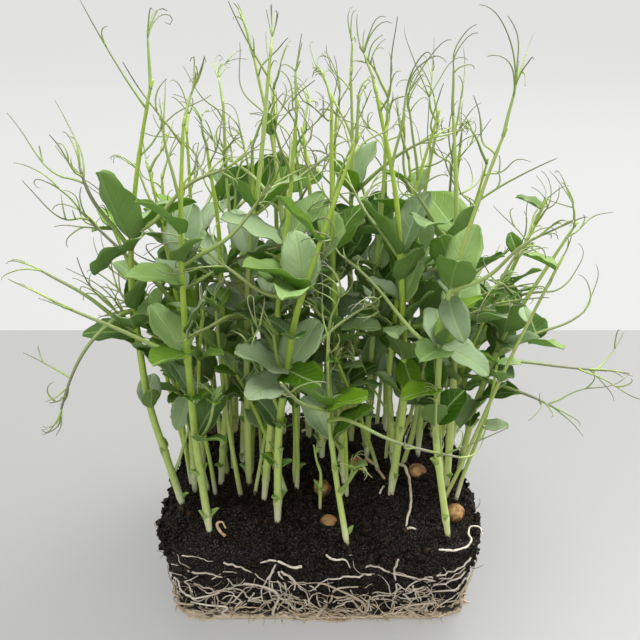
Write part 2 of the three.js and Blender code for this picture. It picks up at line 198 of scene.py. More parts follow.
def heading(azimuth, elevation):
    a, e = math.radians(azimuth), math.radians(elevation)
    return (math.cos(a) * math.cos(e), math.sin(a) * math.cos(e), math.sin(e))


def draw(*keys):
    """A repeatable number from 0 to 1 for each place on the plants"""
    total = 4.1
    for i, key in enumerate(keys):
        total += key * (12.9898 + 37.719 * i)
    wave = math.sin(total) * 43758.5453
    return wave - math.floor(wave)


def between(low, high, *keys):
    return low + (high - low) * draw(*keys)


class Dice:
    """The same numbers for one place, which its keys tell apart"""

    def __init__(self, *keys):
        self.keys = keys

    def __call__(self, *more):
        return draw(*self.keys, *more)

    def span(self, low, high, *more):
        return between(low, high, *self.keys, *more)

    def at(self, *more):
        return Dice(*self.keys, *more)


# The slab

def soil_top(x, y):
    wave = 2.6 * math.sin(x / 17 + 0.6) * math.cos(y / 14 - 0.4)
    return HEIGHT + wave + 1.4 * math.sin(x / 6 + y / 8)


def outline(turn, z, inset=0.0):
    """The slab's outline at a height, as a rounded rectangle; turn runs once round from 0 to 1"""
    a = 2 * math.pi * turn
    shrink = TAPER * (1 - z / HEIGHT) + inset
    w, d, r = WIDTH / 2 - shrink, DEPTH / 2 - shrink, CORNER
    c, s = math.cos(a), math.sin(a)
    reach = 1 / max(abs(c), abs(s), 0.76 + 0.22 * abs(abs(c) - abs(s)))
    x, y = c * reach * w, s * reach * d
    over = math.hypot(max(abs(x) - w + r, 0), max(abs(y) - d + r, 0))
    pull = r / over if over > r else 1

    def rounded(v, half):
        if abs(v) <= half - r:
            return v
        return math.copysign(half - r + (abs(v) - half + r) * pull, v)

    return rounded(x, w), rounded(y, d)


# The rule of growth, as in the solids

MORE_NODES = (0.3, 0.41, 0.57)
CELL = 5
CLEARANCE = 0.6
JOINT = 3
LOWEST_LEAF = 6
TURNS = (0, 18, -18, 36, -36, 56, -56)
TILTS = (0, 14, -14)
SIZES = (1, 0.75)
AROUND = [(i, j, k) for i in (-1, 0, 1) for j in (-1, 0, 1) for k in (-1, 0, 1)]
taken = {}


def cell_of(p):
    return math.floor(p[0] / CELL), math.floor(p[1] / CELL), math.floor(p[2] / CELL)


def claim(owner, balls):
    for p, r in balls:
        taken.setdefault(cell_of(p), []).append((owner, p, r))


def is_clear(owner, root, balls):
    for p, r in balls:
        over_soil = abs(p[0]) < WIDTH / 2 + 6 and abs(p[1]) < DEPTH / 2 + 6
        if p[2] < (HEIGHT + LOWEST_LEAF if over_soil else LOWEST_LEAF):
            return False
        at_joint = math.dist(p, root) < JOINT
        i, j, k = cell_of(p)
        for di, dj, dk in AROUND:
            for other, q, other_r in taken.get((i + di, j + dj, k + dk), ()):
                if other == owner:
                    if not at_joint and math.dist(p, q) <= other_r + r:
                        return False
                elif math.dist(p, q) <= other_r + r + CLEARANCE:
                    return False
    return True


def fitted(owner, describe):
    for size in SIZES:
        for turn in TURNS:
            for tilt in TILTS:
                piece = describe(turn, tilt, size)
                if is_clear(owner, piece.start, piece.balls):
                    claim(owner, piece.balls)
                    return piece
    return None


def stem_point(row, t):
    x, y, top_x, top_y, top_z, bow_x, bow_y, _ = row
    foot = soil_top(x, y)
    if t < 0:
        return (x, y, foot + t * (top_z - foot))
    bow = 4 * t * (1 - t)
    sway = STEM_WIGGLE * math.sin(15 * t + x) * min(1, 6 * t)
    return (x + (top_x - x) * t + bow_x * bow + sway,
            y + (top_y - y) * t + bow_y * bow + sway * 0.6,
            foot + (top_z - foot) * t)


def on_corners(corners, point_at, t):
    """A point on the straight lines from corner to corner"""
    later = next((i for i, corner in enumerate(corners) if corner >= t), len(corners) - 1)
    later = max(1, later)
    low, high = corners[later - 1], corners[later]
    return mixed(point_at(low), point_at(high), (t - low) / (high - low))


def stem_axis(row, t):
    return on_corners(STEM_CORNERS, lambda share: stem_point(row, share), t)


def stem_radius(shoot, t):
    girth = between(0.8, 1.05, shoot, 1) * (0.7 if SHOOTS[shoot][4] < SHORT else 1)
    return girth * (STEM_FOOT + (STEM_TOP - STEM_FOOT) * max(t, 0))


class Strand:
    """A stalk or tendril: it sets out along a heading and curls away from it"""

    def __init__(self, start, direction, length, curl, root, age=0.45):
        self.start, self.direction, self.length, self.curl, self.age = start, direction, length, curl, age
        bend = math.sqrt(dot(curl, curl))
        steps = 4 if length + bend > 50 else 3 if length > 32 else 2
        corners = [i / steps for i in range(steps + 1)]
        self.corner_point = lambda s: on_corners(corners, self.point, s)
        count = math.ceil(length / 1.2)
        self.balls = [(self.corner_point(i / count), root) for i in range(2, count + 1)]

    def point(self, s):
        return plus(plus(self.start, self.direction, self.length * s), self.curl, s * s)


def blade_width(s):
    return math.sin(math.pi * min(s, 1) ** 0.85) ** 0.6


class Blade:
    """An oval leaf blade that sets out along a heading; its edges stand up and its tip bends back"""

    def __init__(self, start, along, length, dice):
        self.start, self.along, self.length, self.dice = start, along, length, dice
        up = unit(plus((0, 0, 1), along, -along[2]))
        self.normal = turned(up, along, math.radians(dice.span(-25, 25, 5)))
        self.across = cross(self.normal, along)
        self.half = length * BLADE_ASPECT * dice.span(0.88, 1.12, 6)
        self.cup = dice.span(0.15, 0.45, 7)
        self.bend = dice.span(0.02, 0.28, 8)
        self.youth = 0.0
        steps = math.ceil(length / 2.2)
        self.balls = [(self.point(i / steps, u), 0.5) for i in range(1, steps + 1)
                      for u in (-1, -0.66, -0.33, 0, 0.33, 0.66, 1) if i / steps > 0.12]

    def point(self, s, u):
        wide = self.half * blade_width(s)
        p = plus(self.start, self.along, self.length * s)
        p = plus(p, self.across, wide * u)
        return plus(p, self.normal, self.cup * wide * u * u - self.bend * self.length * s * s)


blades, stalks, tendrils, thin_stems = ([[] for _ in SHOOTS] for _ in range(4))
THIN_TRIES, THIN_FROM, THIN_BURIED, THIN_ROOM = 3, -15, 8, 0.7


def grow_leaf(shoot, node, item, start, azimuth, elevation, length):
    piece = fitted(shoot, lambda turn, tilt, size: Blade(
        start, heading(azimuth + turn, elevation + tilt), length * size, Dice(shoot, node, item)))
    if piece:
        blades[shoot].append(piece)


def grow_strand(kept, shoot, start, azimuth, elevation, length, curl, root, **more):
    piece = fitted(shoot, lambda turn, tilt, size: Strand(
        start, heading(azimuth + turn, elevation + tilt), length * size, curl, root, **more))
    if piece:
        kept[shoot].append(piece)
    return piece


def grow_tendril(shoot, node, item, start, azimuth, elevation):
    dice = Dice(shoot, node, item)
    side = heading(azimuth + 90, 0)
    sway = dice.span(-8, 8, 3)
    curl = (side[0] * sway, side[1] * sway, dice.span(-6, 8, 4))
    grow_strand(tendrils, shoot, start, azimuth, elevation, TENDRIL_LENGTH * dice.span(0.6, 1.25, 5), curl,
                TENDRIL_ROOT)


def leaf_azimuth(row, shoot, node):
    return row[7] + 180 * node + between(-25, 25, shoot, node, 2)


def grow_placed():
    for i, (number, share, azimuth, elevation, reach, *curl) in enumerate(LONG_STALKS):
        shoot = number - 1
        start = stem_axis(SHOOTS[shoot], share)
        stalk = grow_strand(stalks, shoot, start, azimuth, elevation, reach, tuple(curl), STALK_ROOT, age=1)
        if not stalk:
            continue
        for side in (-1, 1):
            dice = Dice(i, side)
            grow_tendril(shoot, 50 + i, side + 2, stalk.corner_point(0.86 + 0.05 * side),
                         azimuth + side * dice.span(30, 60), elevation * 0.5 + dice.span(-10, 25, 2))
    for i, (number, share, azimuth, elevation, length) in enumerate(LARGE_LEAVES):
        shoot = number - 1
        grow_leaf(shoot, 60 + i, 0, stem_axis(SHOOTS[shoot], share), azimuth, elevation, length)


def grow_node(shoot, row, node, share):
    """A pair of leaves and a stalk, which may bear a pair of leaflets"""
    dice = Dice(shoot, node)
    start = stem_axis(row, share + dice.span(-0.04, 0.04, 1))
    azimuth = leaf_azimuth(row, shoot, node)
    length = BLADE_LENGTH * dice.span(0.8, 1.18, 3)
    for side in (-1, 1):
        way = azimuth + side * dice.span(45, 75, side + 5)
        root = plus(plus(start, heading(way, 0), STEM_TOP * 0.6), (0, 0, NODE_HEIGHT))
        grow_leaf(shoot, node, side + 2, root, way, dice.span(30, 62, side + 7), length)
    reach = STALK_LENGTH * dice.span(0.7, 1.15, 10)
    curl = (0, 0, dice.span(-9, 11, 11))
    stalk = grow_strand(stalks, shoot, start, azimuth, dice.span(25, 60, 9), reach, curl, STALK_ROOT)
    if stalk and dice(12) < PAIRED:
        for side in (-1, 1):
            grow_leaf(shoot, node, side + 12, stalk.corner_point(0.44 + 0.05 * side), azimuth + side * 62,
                      dice.span(15, 45, side + 14), length * 0.85)


def grow_more_leaves(shoot, row):
    """Smaller leaves that only the looks have, wherever they have room"""
    for node, share in enumerate(MORE_NODES):
        dice = Dice(shoot, node)
        start = stem_axis(row, share + dice.span(-0.05, 0.05, 201))
        azimuth = leaf_azimuth(row, shoot, node + 7)
        for side in (-1, 1):
            way = azimuth + side * dice.span(40, 85, side + 203)
            grow_leaf(shoot, node + 90, side + 2, plus(start, heading(way, 0), 0.6), way,
                      dice.span(25, 75, side + 205), dice.span(10, 17, side + 207))


def grow_thin_stem(shoot, row, item):
    """A thin stem that comes out of the soil beside a main one, if it has room"""
    dice = Dice(shoot, item)
    x, y, _ = plus((row[0], row[1], 0), heading(360 * dice(211), 0), dice.span(4, 9, 212))
    near_pea = min(math.hypot(x - pea_x, y - pea_y) for pea_x, pea_y, *_ in PEAS)
    if abs(x) > WIDTH / 2 - 6 or abs(y) > DEPTH / 2 - 6 or near_pea < SEED:
        return
    start = (x, y, soil_top(x, y) - THIN_BURIED)
    azimuth, elevation = 360 * dice(213), dice.span(76, 88, 214)
    length = dice.span(55, 125, 215)
    curl = scaled(heading(360 * dice(216), 0), dice.span(2, 9, 217))

    def describe(turn, tilt, size):
        way = heading(azimuth + 3 * turn, elevation + 0.5 * tilt)
        piece = Strand(start, way, length * size, curl, THIN_ROOM)
        piece.balls = [ball for ball in piece.balls if ball[0][2] > HEIGHT + LOWEST_LEAF]
        return piece

    piece = fitted(shoot, describe)
    if piece:
        thin_stems[shoot].append(piece)


def grow():
    shoots = list(enumerate(SHOOTS))
    leafy = [(shoot, row) for shoot, row in shoots if row[4] >= SHORT]
    for shoot, row in shoots:
        claim(shoot, [(stem_axis(row, i / 120), stem_radius(shoot, i / 120)) for i in range(121)])
    grow_placed()
    for shoot, row in leafy:
        for node, share in enumerate(LEAF_NODES):
            grow_node(shoot, row, node, share)
    for shoot, row in leafy:
        for k, share in enumerate(TENDRIL_NODES):
            grow_tendril(shoot, 3 + k, 31, stem_axis(row, share), leaf_azimuth(row, shoot, 3 + k),
                         between(35, 65, shoot, k, 32))
    for shoot, row in leafy:
        if row[4] >= YOUNG:
            grow_more_leaves(shoot, row)
    for shoot, row in shoots:
        if row[1] > THIN_FROM:
            for item in range(THIN_TRIES):
                grow_thin_stem(shoot, row, item)


# Meshes

ROUND = 6.28  # nearly a whole turn, in radians


def linked(name, data):
    made = bpy.data.objects.new(name, data)
    bpy.context.scene.collection.objects.link(made)
    return made


class Skin:
    """Gathers the faces of one piece, the material of each, and what the materials ask of each point"""

    def __init__(self):
        self.points, self.place, self.trait, self.count = [], [], [], 0
        self.faces, self.slots = {4: [], 3: []}, {4: [], 3: []}

    def add(self, points, quads, triangles, slot, place, trait):
        points = np.clip(np.asarray(points, float).reshape(-1, 3), BOX_LOW, BOX_HIGH)
        for kept, values in ((self.points, points), (self.place, place), (self.trait, trait)):
            kept.append(np.broadcast_to(values, points.shape))
        for corners, faces in ((4, quads), (3, triangles)):
            faces = np.asarray(faces, int).reshape(-1, corners)
            self.faces[corners].append(faces + self.count)
            self.slots[corners].append(np.full(len(faces), slot))
        self.count += len(points)

    def piece(self, name, materials, slot, *replaced):
        quads, triangles = (np.concatenate(self.faces[corners]) for corners in (4, 3))
        mesh = bpy.data.meshes.new(name)
        mesh.vertices.add(self.count)
        mesh.vertices.foreach_set("co", (np.concatenate(self.points) * MM).ravel())
        mesh.loops.add(quads.size + triangles.size)
        mesh.loops.foreach_set("vertex_index", np.concatenate([quads.ravel(), triangles.ravel()]))
        mesh.polygons.add(len(quads) + len(triangles))
        starts = [np.arange(len(quads)) * 4, quads.size + np.arange(len(triangles)) * 3]
        mesh.polygons.foreach_set("loop_start", np.concatenate(starts))
        mesh.polygons.foreach_set("material_index", np.concatenate(self.slots[4] + self.slots[3]))
        mesh.polygons.foreach_set("use_smooth", np.ones(len(quads) + len(triangles), bool))
        for attribute, values in (("place", self.place), ("trait", self.trait)):
            layer = mesh.attributes.new(attribute, "FLOAT_VECTOR", "POINT")
            layer.data.foreach_set("vector", np.concatenate(values).astype(np.float32).ravel())
        mesh.update(calc_edges=True)
        mesh.validate()
        for material in materials:
            mesh.materials.append(material)
        made = linked(name, mesh)
        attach(made, "root")
        if replaced:
            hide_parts(*replaced)


def grid_faces(rows, columns, around=False):
    """The quads between rows of points; around joins the last column to the first"""
    i, j = np.meshgrid(np.arange(rows - 1), np.arange(columns if around else columns - 1), indexing="ij")
    after = (j + 1) % columns
    corners = [i * columns + j, i * columns + after, (i + 1) * columns + after, (i + 1) * columns + j]
    return np.stack(corners, -1).reshape(-1, 4)


def shell(skin, rings, ends, slot, trait, place=(0, 0, 0), flipped=False):
    """A closed skin over rings of points, with a point at each end; trait may be a rule for the points"""
    rings = np.asarray(rings, float)
    rows, columns, _ = rings.shape
    points = np.concatenate([rings.reshape(-1, 3), ends])
    around = np.arange(columns)
    after = (around + 1) % columns
    first = rows * columns
    caps = [np.stack([np.full(columns, first), after, around], -1),
            np.stack([np.full(columns, first + 1), first - columns + around, first - columns + after], -1)]
    quads, caps = grid_faces(rows, columns, around=True), np.concatenate(caps)
    if flipped:
        quads, caps = quads[:, ::-1], caps[:, ::-1]
    skin.add(points, quads, caps, slot, place, trait(points) if callable(trait) else trait)


def tube(skin, path, radii, slot, trait, sides=8, ribs=0.0):
    """A round closed strand along a path, with a radius for each end or for each point of the path

    place is (share along, angle, length along in mm)
    """
    path = np.asarray(path, float)
    n = len(path)
    radii = np.linspace(*radii, n) if len(radii) == 2 else np.asarray(radii)
    tangents = np.gradient(path, axis=0)
    tangents /= np.linalg.norm(tangents, axis=1)[:, None]
    across = np.empty_like(path)
    side = np.array([1.0, 0.3, 0.1])
    for i, tangent in enumerate(tangents):
        side = side - tangent * (side @ tangent)
        side /= np.linalg.norm(side)
        across[i] = side
    angles = 2 * np.pi * np.arange(sides) / sides
    other = np.cross(tangents, across)
    ring = across[:, None] * np.cos(angles)[:, None] + other[:, None] * np.sin(angles)[:, None]
    bulge = 1 + ribs * np.cos(4 * angles)
    walls = path[:, None] + radii[:, None, None] * bulge[:, None] * ring
    ends = [path[0] - tangents[0] * radii[0] * 0.4, path[-1] + tangents[-1] * radii[-1] * 0.8]
    run = np.concatenate([[0], np.cumsum(np.linalg.norm(np.diff(path, axis=0), axis=1))])
    place = np.stack([np.repeat(run / run[-1], sides), np.tile(angles, n), np.repeat(run, sides)], -1)
    shell(skin, walls, ends, slot, trait, np.concatenate([place, [[0, 0, 0], [1, 0, run[-1]]]]))


def smooth_path(points, steps):
    """A smooth curve through a few points"""
    p = np.asarray(points, float)
    p = np.concatenate([[2 * p[0] - p[1]], p, [2 * p[-1] - p[-2]]])
    made = []
    for i in range(1, len(p) - 2):
        for t in np.arange(steps) / steps:
            made.append(0.5 * (2 * p[i] + (p[i + 1] - p[i - 1]) * t
                               + (2 * p[i - 1] - 5 * p[i] + 4 * p[i + 1] - p[i + 2]) * t * t
                               + (3 * p[i] - p[i - 1] - 3 * p[i + 1] + p[i + 2]) * t ** 3))
    made.append(p[-2])
    return np.array(made)


# The plants

STEM, LEAF, STRAND = 0, 1, 2
LEAF_THICKNESS, LEAF_LEAST_HALF, TOOTH = 0.36, 0.22, 0.085
SCALE_LEAVES = ((4, 12), (17, 34))  # how high over the soil the two scale leaves of a stem may be
SCALE_YOUTH = 2  # marks the scale leaves, which are as pale as the stem
TENDRIL_TIP = 0.11
REAR_Y, REAR_BUSHY = 0, 0.45  # shoots with their top behind this stand in shade and bear fewer tendrils
STEM_SHOWN, STEM_RINGS = 7, 72  # how far down into the soil a stem of the looks goes, and its rings
SLIM, YOUNG_SLIM = 0.95, 0.72  # how thick a stem of the looks is beside its solid
NODE_SWELL, NODE_REACH = 0.22, 1.6  # how much thicker a stem is at a node, and over how many mm
TOP_TAPER, FOOT_TAPER, FOOT_REACH = 0.55, 0.26, 9
ARC_STEP = 1.5
HOOK_FROM, CURLED_HOOK = 0.7, 4.5  # the share of a path where it begins to hook, and the hook of a curled one
PALE_FROM = 0.72  # the share of YOUNG_TOP above which leaves turn young and bright
YOUNG_TOP = 200
LIGHT_THROUGH = 0.38  # the share of light that passes through a leaf


def leaf(skin, blade, rows=18, columns=8, teeth=TOOTH):
    """A closed thin blade with a grooved midrib, waved edges and small teeth towards its tip"""
    dice, length = blade.dice, blade.length
    s = 0.5 - 0.5 * np.cos(np.pi * np.arange(rows + 1) / rows)
    wide = np.array([0.45 * blade_width(v) + 0.55 * math.sin(math.pi * v) ** 0.42 for v in s])
    phase = ROUND * dice(21)
    saw = (s * (5 + 3 * dice(22)) + dice(23)) % 1
    wide = wide * (1 - teeth * saw * np.clip(3 * s - 0.9, 0, 1)) * blade.half
    wide = np.maximum(wide, LEAF_LEAST_HALF)[:, None]
    s, u = np.meshgrid(s, np.linspace(-1, 1, columns + 1), indexing="ij")
    side = wide * u
    fold = blade.cup * wide * (0.65 * u ** 2 + 0.35 * np.abs(u))
    ruffle = 0.03 * length * np.abs(u) ** 3 * np.sin(14 * s + phase + 1.7 * u)
    swell = 0.012 * length * np.sin(9 * s + 2.2 * phase) * np.cos(2.5 * u + phase)
    groove = 0.28 * np.exp(-((side / 0.8) ** 2)) * (1 - 0.6 * s)
    lift = fold + ruffle + swell - blade.bend * length * s ** 2 - groove
    bow = 0.04 * length * math.sin(phase) * np.sin(np.pi * s)
    along, across, normal = (np.array(v) for v in (blade.along, blade.across, blade.normal))
    middle = blade.start + along * (length * s)[..., None] + across * (side + bow)[..., None]
    rib = 0.3 * np.exp(-((side / 0.5) ** 2)) * (1 - 0.7 * s)
    half = LEAF_THICKNESS * (1 - 0.45 * u ** 4) / 2
    points = np.stack([middle + normal * (lift + off)[..., None] for off in (half, -half - rib)])
    index = np.arange(s.size).reshape(s.shape)
    rim = np.concatenate([index[:, 0], index[-1, 1:], index[-2::-1, -1], index[0, -2:0:-1]])
    after = np.roll(rim, -1)
    upper = grid_faces(*s.shape)
    faces = [upper[:, ::-1], upper + s.size, np.stack([rim, rim + s.size, after + s.size, after], -1)]
    place = np.stack([s, u, np.full_like(s, dice(24))], -1).reshape(-1, 3)
    trait = [np.full(2 * s.size, blade.youth), np.repeat([1.0, 0.0], s.size), np.tile(side.ravel(), 2)]
    skin.add(points, np.concatenate(faces), [], LEAF, np.concatenate([place, place]), np.stack(trait, -1))


def is_inside(path):
    """True where a path stays in the solids' box and over the table"""
    return bool((np.min(path, axis=0) > REACH_LOW).all() and (np.max(path, axis=0) < REACH_HIGH).all())


def small_leaf(skin, start, way, length, youth, dice, rows=12, columns=6, teeth=TOOTH, **form):
    """A leaf that only the looks have"""
    made = Blade(start, way, length, dice)
    made.youth = youth
    for name, value in form.items():
        setattr(made, name, value)
    if is_inside([made.point(s, 0) for s in (0.5, 1)]):
        leaf(skin, made, rows, columns, teeth)


def arc(start, direction, length, towards, bend, hook, dice):
    """A path that bends towards a heading by bend radians, weaves a little, and hooks near its tip"""
    steps = max(7, int(length / ARC_STEP))
    weave, phase = dice.span(0.2, 1.2, 89), ROUND * dice(90)
    axis = cross(direction, towards)
    axis = unit(axis) if dot(axis, axis) > 0.01 else unit(cross(direction, (0.3, 0.9, 0.2)))
    twist = dice.span(-0.05, 0.05, 91)
    path, p, d = [start], start, direction
    for i in range(steps):
        share = (i + 1) / steps
        axis = unit(plus(axis, d, twist))
        turn = bend + weave * math.sin(8 * share + phase) + hook * 12 * max(0, share - HOOK_FROM)
        d = unit(turned(d, axis, turn / steps))
        p = plus(p, d, length / steps)
        path.append(p)
    return path


def inner_arc(sizes, start, direction, length, *form):
    """The longest such path that stays inside, and its length"""
    for size in sizes:
        path = arc(start, direction, length * size, *form)
        if is_inside(path):
            return path, length * size
    return None, 0


def tendril(skin, start, direction, towards, length, radius, forks, dice):
    """A fine strand that bends, hooks at its tip and may fork"""
    bend = dice.span(0.6, 1.7, 1)
    hook = dice.span(-0.2, 1.3, 2) if length < 12 or dice(9) < 0.85 else CURLED_HOOK
    path, reach = inner_arc((1, 0.8, 0.6, 0.4), start, direction, length, towards, bend, hook, dice)
    if not path:
        return
    thinned = np.linspace(0, 1, len(path)) ** 1.3
    tube(skin, path, radius * (1 - thinned) + TENDRIL_TIP * thinned, STRAND,
         (dice(3), forks, min(1, length / 16)), sides=5)
    for fork in range(forks):
        i = max(1, min(len(path) - 3, int(len(path) * dice.span(0.12, 0.5, 5, fork))))
        onward = unit(plus(path[i + 1], path[i], -1))
        away = unit(cross(onward, heading(360 * dice(6, fork), 20)))
        child = unit(plus(onward, away, dice.span(0.25, 0.55, 7, fork)))
        tendril(skin, path[i], child, towards, reach * dice.span(0.45, 0.8, 8, fork), radius * 0.9, 0,
                dice.at(11 + fork))


def fan(skin, path, radius, reach, pairs, dice):
    """Tendrils in opposite pairs along the end of a stalk, and a few that carry it on"""
    direction = unit(plus(path[-1], path[-3], -1))
    plane = unit(cross(direction, heading(360 * dice(1), dice.span(-30, 50, 2))))
    other = unit(cross(direction, plane))
    sweep = heading(360 * dice(3), dice.span(-20, 35, 4))

    def way(aside, across):
        return unit(plus(plus(direction, plane, aside), other, across))

    for pair in range(pairs):
        pick = dice.at(pair)
        i = min(len(path) - 1, int(len(path) * (1 - 0.36 * (pair + 0.4) / (pairs + 0.2))))
        for side in (-1, 1):
            if pick(side + 5) < 0.2:
                continue
            goal = unit(plus(scaled(plane, side), (0, 0, -0.5))) if pick(side + 23) < 0.2 else sweep
            onward = way(side * pick.span(0.28, 0.7, side + 7), pick.span(-0.25, 0.25, side + 9))
            tendril(skin, path[i], onward, goal, reach * pick.span(0.55, 0.95, side + 11), radius,
                    int(1.25 * pick(side + 13)), pick.at(side + 15))
    for i in range(1 + (dice(17) < 0.75)):
        pick = dice.at(i)
        tendril(skin, path[-1], way(pick.span(-0.35, 0.35, 18), pick.span(-0.25, 0.25, 19)), sweep,
                reach * pick.span(0.8, 1.3, 21), radius, int(1.5 * pick(20)), pick.at(22))


def stalk_path(strand, sway, dice, steps=16):
    """A solid's strand with a slight weave, and a tip that hooks over"""
    path = [strand.point(i / steps) for i in range(steps + 1)]
    aside = unit(cross(strand.direction, heading(360 * dice(1), 30)))
    weave, phase = sway * dice.span(0.3, 1.1, 2), ROUND * dice(4)
    hook = sway * dice.span(-3.5, 3.5, 3)
    woven = []
    for i, p in enumerate(path):
        s = i / steps
        woven.append(plus(p, aside, min(1, 4 * s) * weave * (math.sin(7 * s + phase) - math.sin(phase))
                          + hook * max(0, s - 0.6) ** 2 * 5))
    return woven if is_inside(woven) else path


def stem_path(row, low):
    """The stem's middle line, with its corners rounded off"""
    made = []
    for t in np.linspace(low, 1, STEM_RINGS):
        if t <= 0:
            made.append(stem_point(row, t))
            continue
        window = min(t, 0.06, 1 - t) * np.linspace(-1, 1, 7)
        made.append(np.mean([stem_axis(row, t + w) for w in window], axis=0))
    return np.array(made)


def stem_height(row):
    return row[4] - soil_top(row[0], row[1])


def plant_stem(skin, shoot, row):
    height = stem_height(row)
    low = -STEM_SHOWN / height
    t = np.linspace(low, 1, STEM_RINGS)
    slim = SLIM if row[4] > YOUNG else YOUNG_SLIM
    radii = slim * np.array([stem_radius(shoot, v) for v in t])
    nodes = [share + between(-0.04, 0.04, shoot, node, 1) for node, share in enumerate(LEAF_NODES)]
    nodes += [between(*reach, shoot, i, 79) / height for i, reach in enumerate(SCALE_LEAVES)]
    for share in (*nodes, *TENDRIL_NODES):
        radii = radii * (1 + NODE_SWELL * np.exp(-(((t - share) * height / NODE_REACH) ** 2)))
    radii = radii * (1 - TOP_TAPER * np.clip(t, 0, 1) ** 3)
    radii = radii * (1 - FOOT_TAPER + FOOT_TAPER * np.clip(t * height / FOOT_REACH, 0, 1))
    tube(skin, stem_path(row, low), radii, STEM, (draw(shoot, 80), height, 0), sides=12, ribs=0.05)


def scale_leaf(skin, shoot, row, i):
    """A toothed scale that clasps the lower stem"""
    dice = Dice(shoot, i)
    t = dice.span(*SCALE_LEAVES[i], 79) / stem_height(row)
    for side in range(1 + (dice(78) < 0.6)):
        way = 360 * dice(81) + 150 * side
        root = plus(stem_axis(row, t), heading(way, 0), stem_radius(shoot, t) * 0.75)
        length = dice.span(3.0, 4.8, 82 + side)
        small_leaf(skin, root, heading(way, dice.span(58, 76, 83 + side)), length, SCALE_YOUTH,
                   Dice(shoot, 70 + i, 1 + side), rows=8, columns=4, teeth=0.4, half=length * 0.3, cup=0.9)


def side_shoot(skin, shoot, row, k):
    """A thin shoot from low on a stem, with a claw of short tendrils or a small leaf at its tip"""
    dice = Dice(shoot, k)
    start = stem_axis(row, dice.span(8, 62, 111) / stem_height(row))
    azimuth = 360 * dice(112)
    path = arc(start, heading(azimuth, dice.span(38, 72, 114)), dice.span(9, 34, 113), (0, 0, 1),
               dice.span(0.2, 0.7, 115), 0, dice.at(116))
    radius = dice.span(0.45, 0.8, 117)
    tube(skin, path, (radius, radius * 0.6), STRAND, (dice(118), 0, 0), sides=6)
    fan(skin, path, 0.24, dice.span(6, 11, 119), 1, dice.at(120))
    for side in (-1, 1):
        if dice(side + 122) < 0.55:
            small_leaf(skin, path[-2], heading(azimuth + 70 * side, dice.span(20, 60, side + 124)),
                       dice.span(5, 9, side + 126), 0.4, Dice(shoot, 80 + k, side + 2), rows=10, columns=4,
                       teeth=0.15)


def thin_stem(skin, strand, dice):
    """A thin young stem with a few small leaves and a claw of short tendrils"""
    path = stalk_path(strand, 0.7, dice, steps=30)
    girth = dice.span(0.8, 1.15, 5)
    tube(skin, path, (girth, 0.55 * girth), STEM, (dice(6), strand.length, 0), sides=10, ribs=0.05)
    fan(skin, path, 0.25, dice.span(6, 13, 7), 1, dice.at(8))
    for i, place in enumerate((18, 24, 29)):
        pick = dice.at(i)
        for side in range(1 + (pick(10) < 0.6)):
            way = heading(360 * pick(9) + pick.span(80, 150, 11) * side, pick.span(15, 65, side, 12))
            small_leaf(skin, path[place], way, pick.span(6, 12, side, 13), 0.5 * pick(side, 14),
                       pick.at(side))


def top_tuft(skin, shoot, row, bushy):
    """The young top: stalks nearly upright, each with a fan of tendrils, and small folded leaves"""
    for k, share in enumerate((0.84, 0.985)):
        dice = Dice(shoot, k)
        start = stem_axis(row, share)
        azimuth = leaf_azimuth(row, shoot, k + 4) + 60 * k
        length = dice.span(6, 15, 84) if k else dice.span(16, 32, 84)
        way = heading(azimuth, dice.span(58, 80, 85))
        path, _ = inner_arc((1, 0.75, 0.5, 0.3), start, way, length, (0, 0, 1), dice.span(-0.3, 0.4, 86), 0,
                            dice.at(87))
        if not path:
            continue
        if k or draw(shoot, 82) < 0.38 * bushy:
            tube(skin, path, (0.55, 0.32), STRAND, (dice(88), 0, 0), sides=7)
            reach = dice.span(18, 27, 89) if dice(83) < 0.25 * bushy else dice.span(8, 15, 89)
            fan(skin, path, 0.25, reach, 1 + (dice(90) < 0.2), dice.at(90))
        if k or draw(shoot, 92) > 0.3:
            continue
        for side in (-1, 1):
            small_leaf(skin, plus(start, heading(azimuth + 70 * side, 0), 0.5),
                       heading(azimuth + 60 * side, dice.span(50, 78, side + 91)),
                       dice.span(6, 11, side + 93) * 1.1 * (0.65 if row[3] > REAR_Y else 1), 0.55,
                       Dice(shoot, 75, side + 2), cup=0.45, bend=0.06)


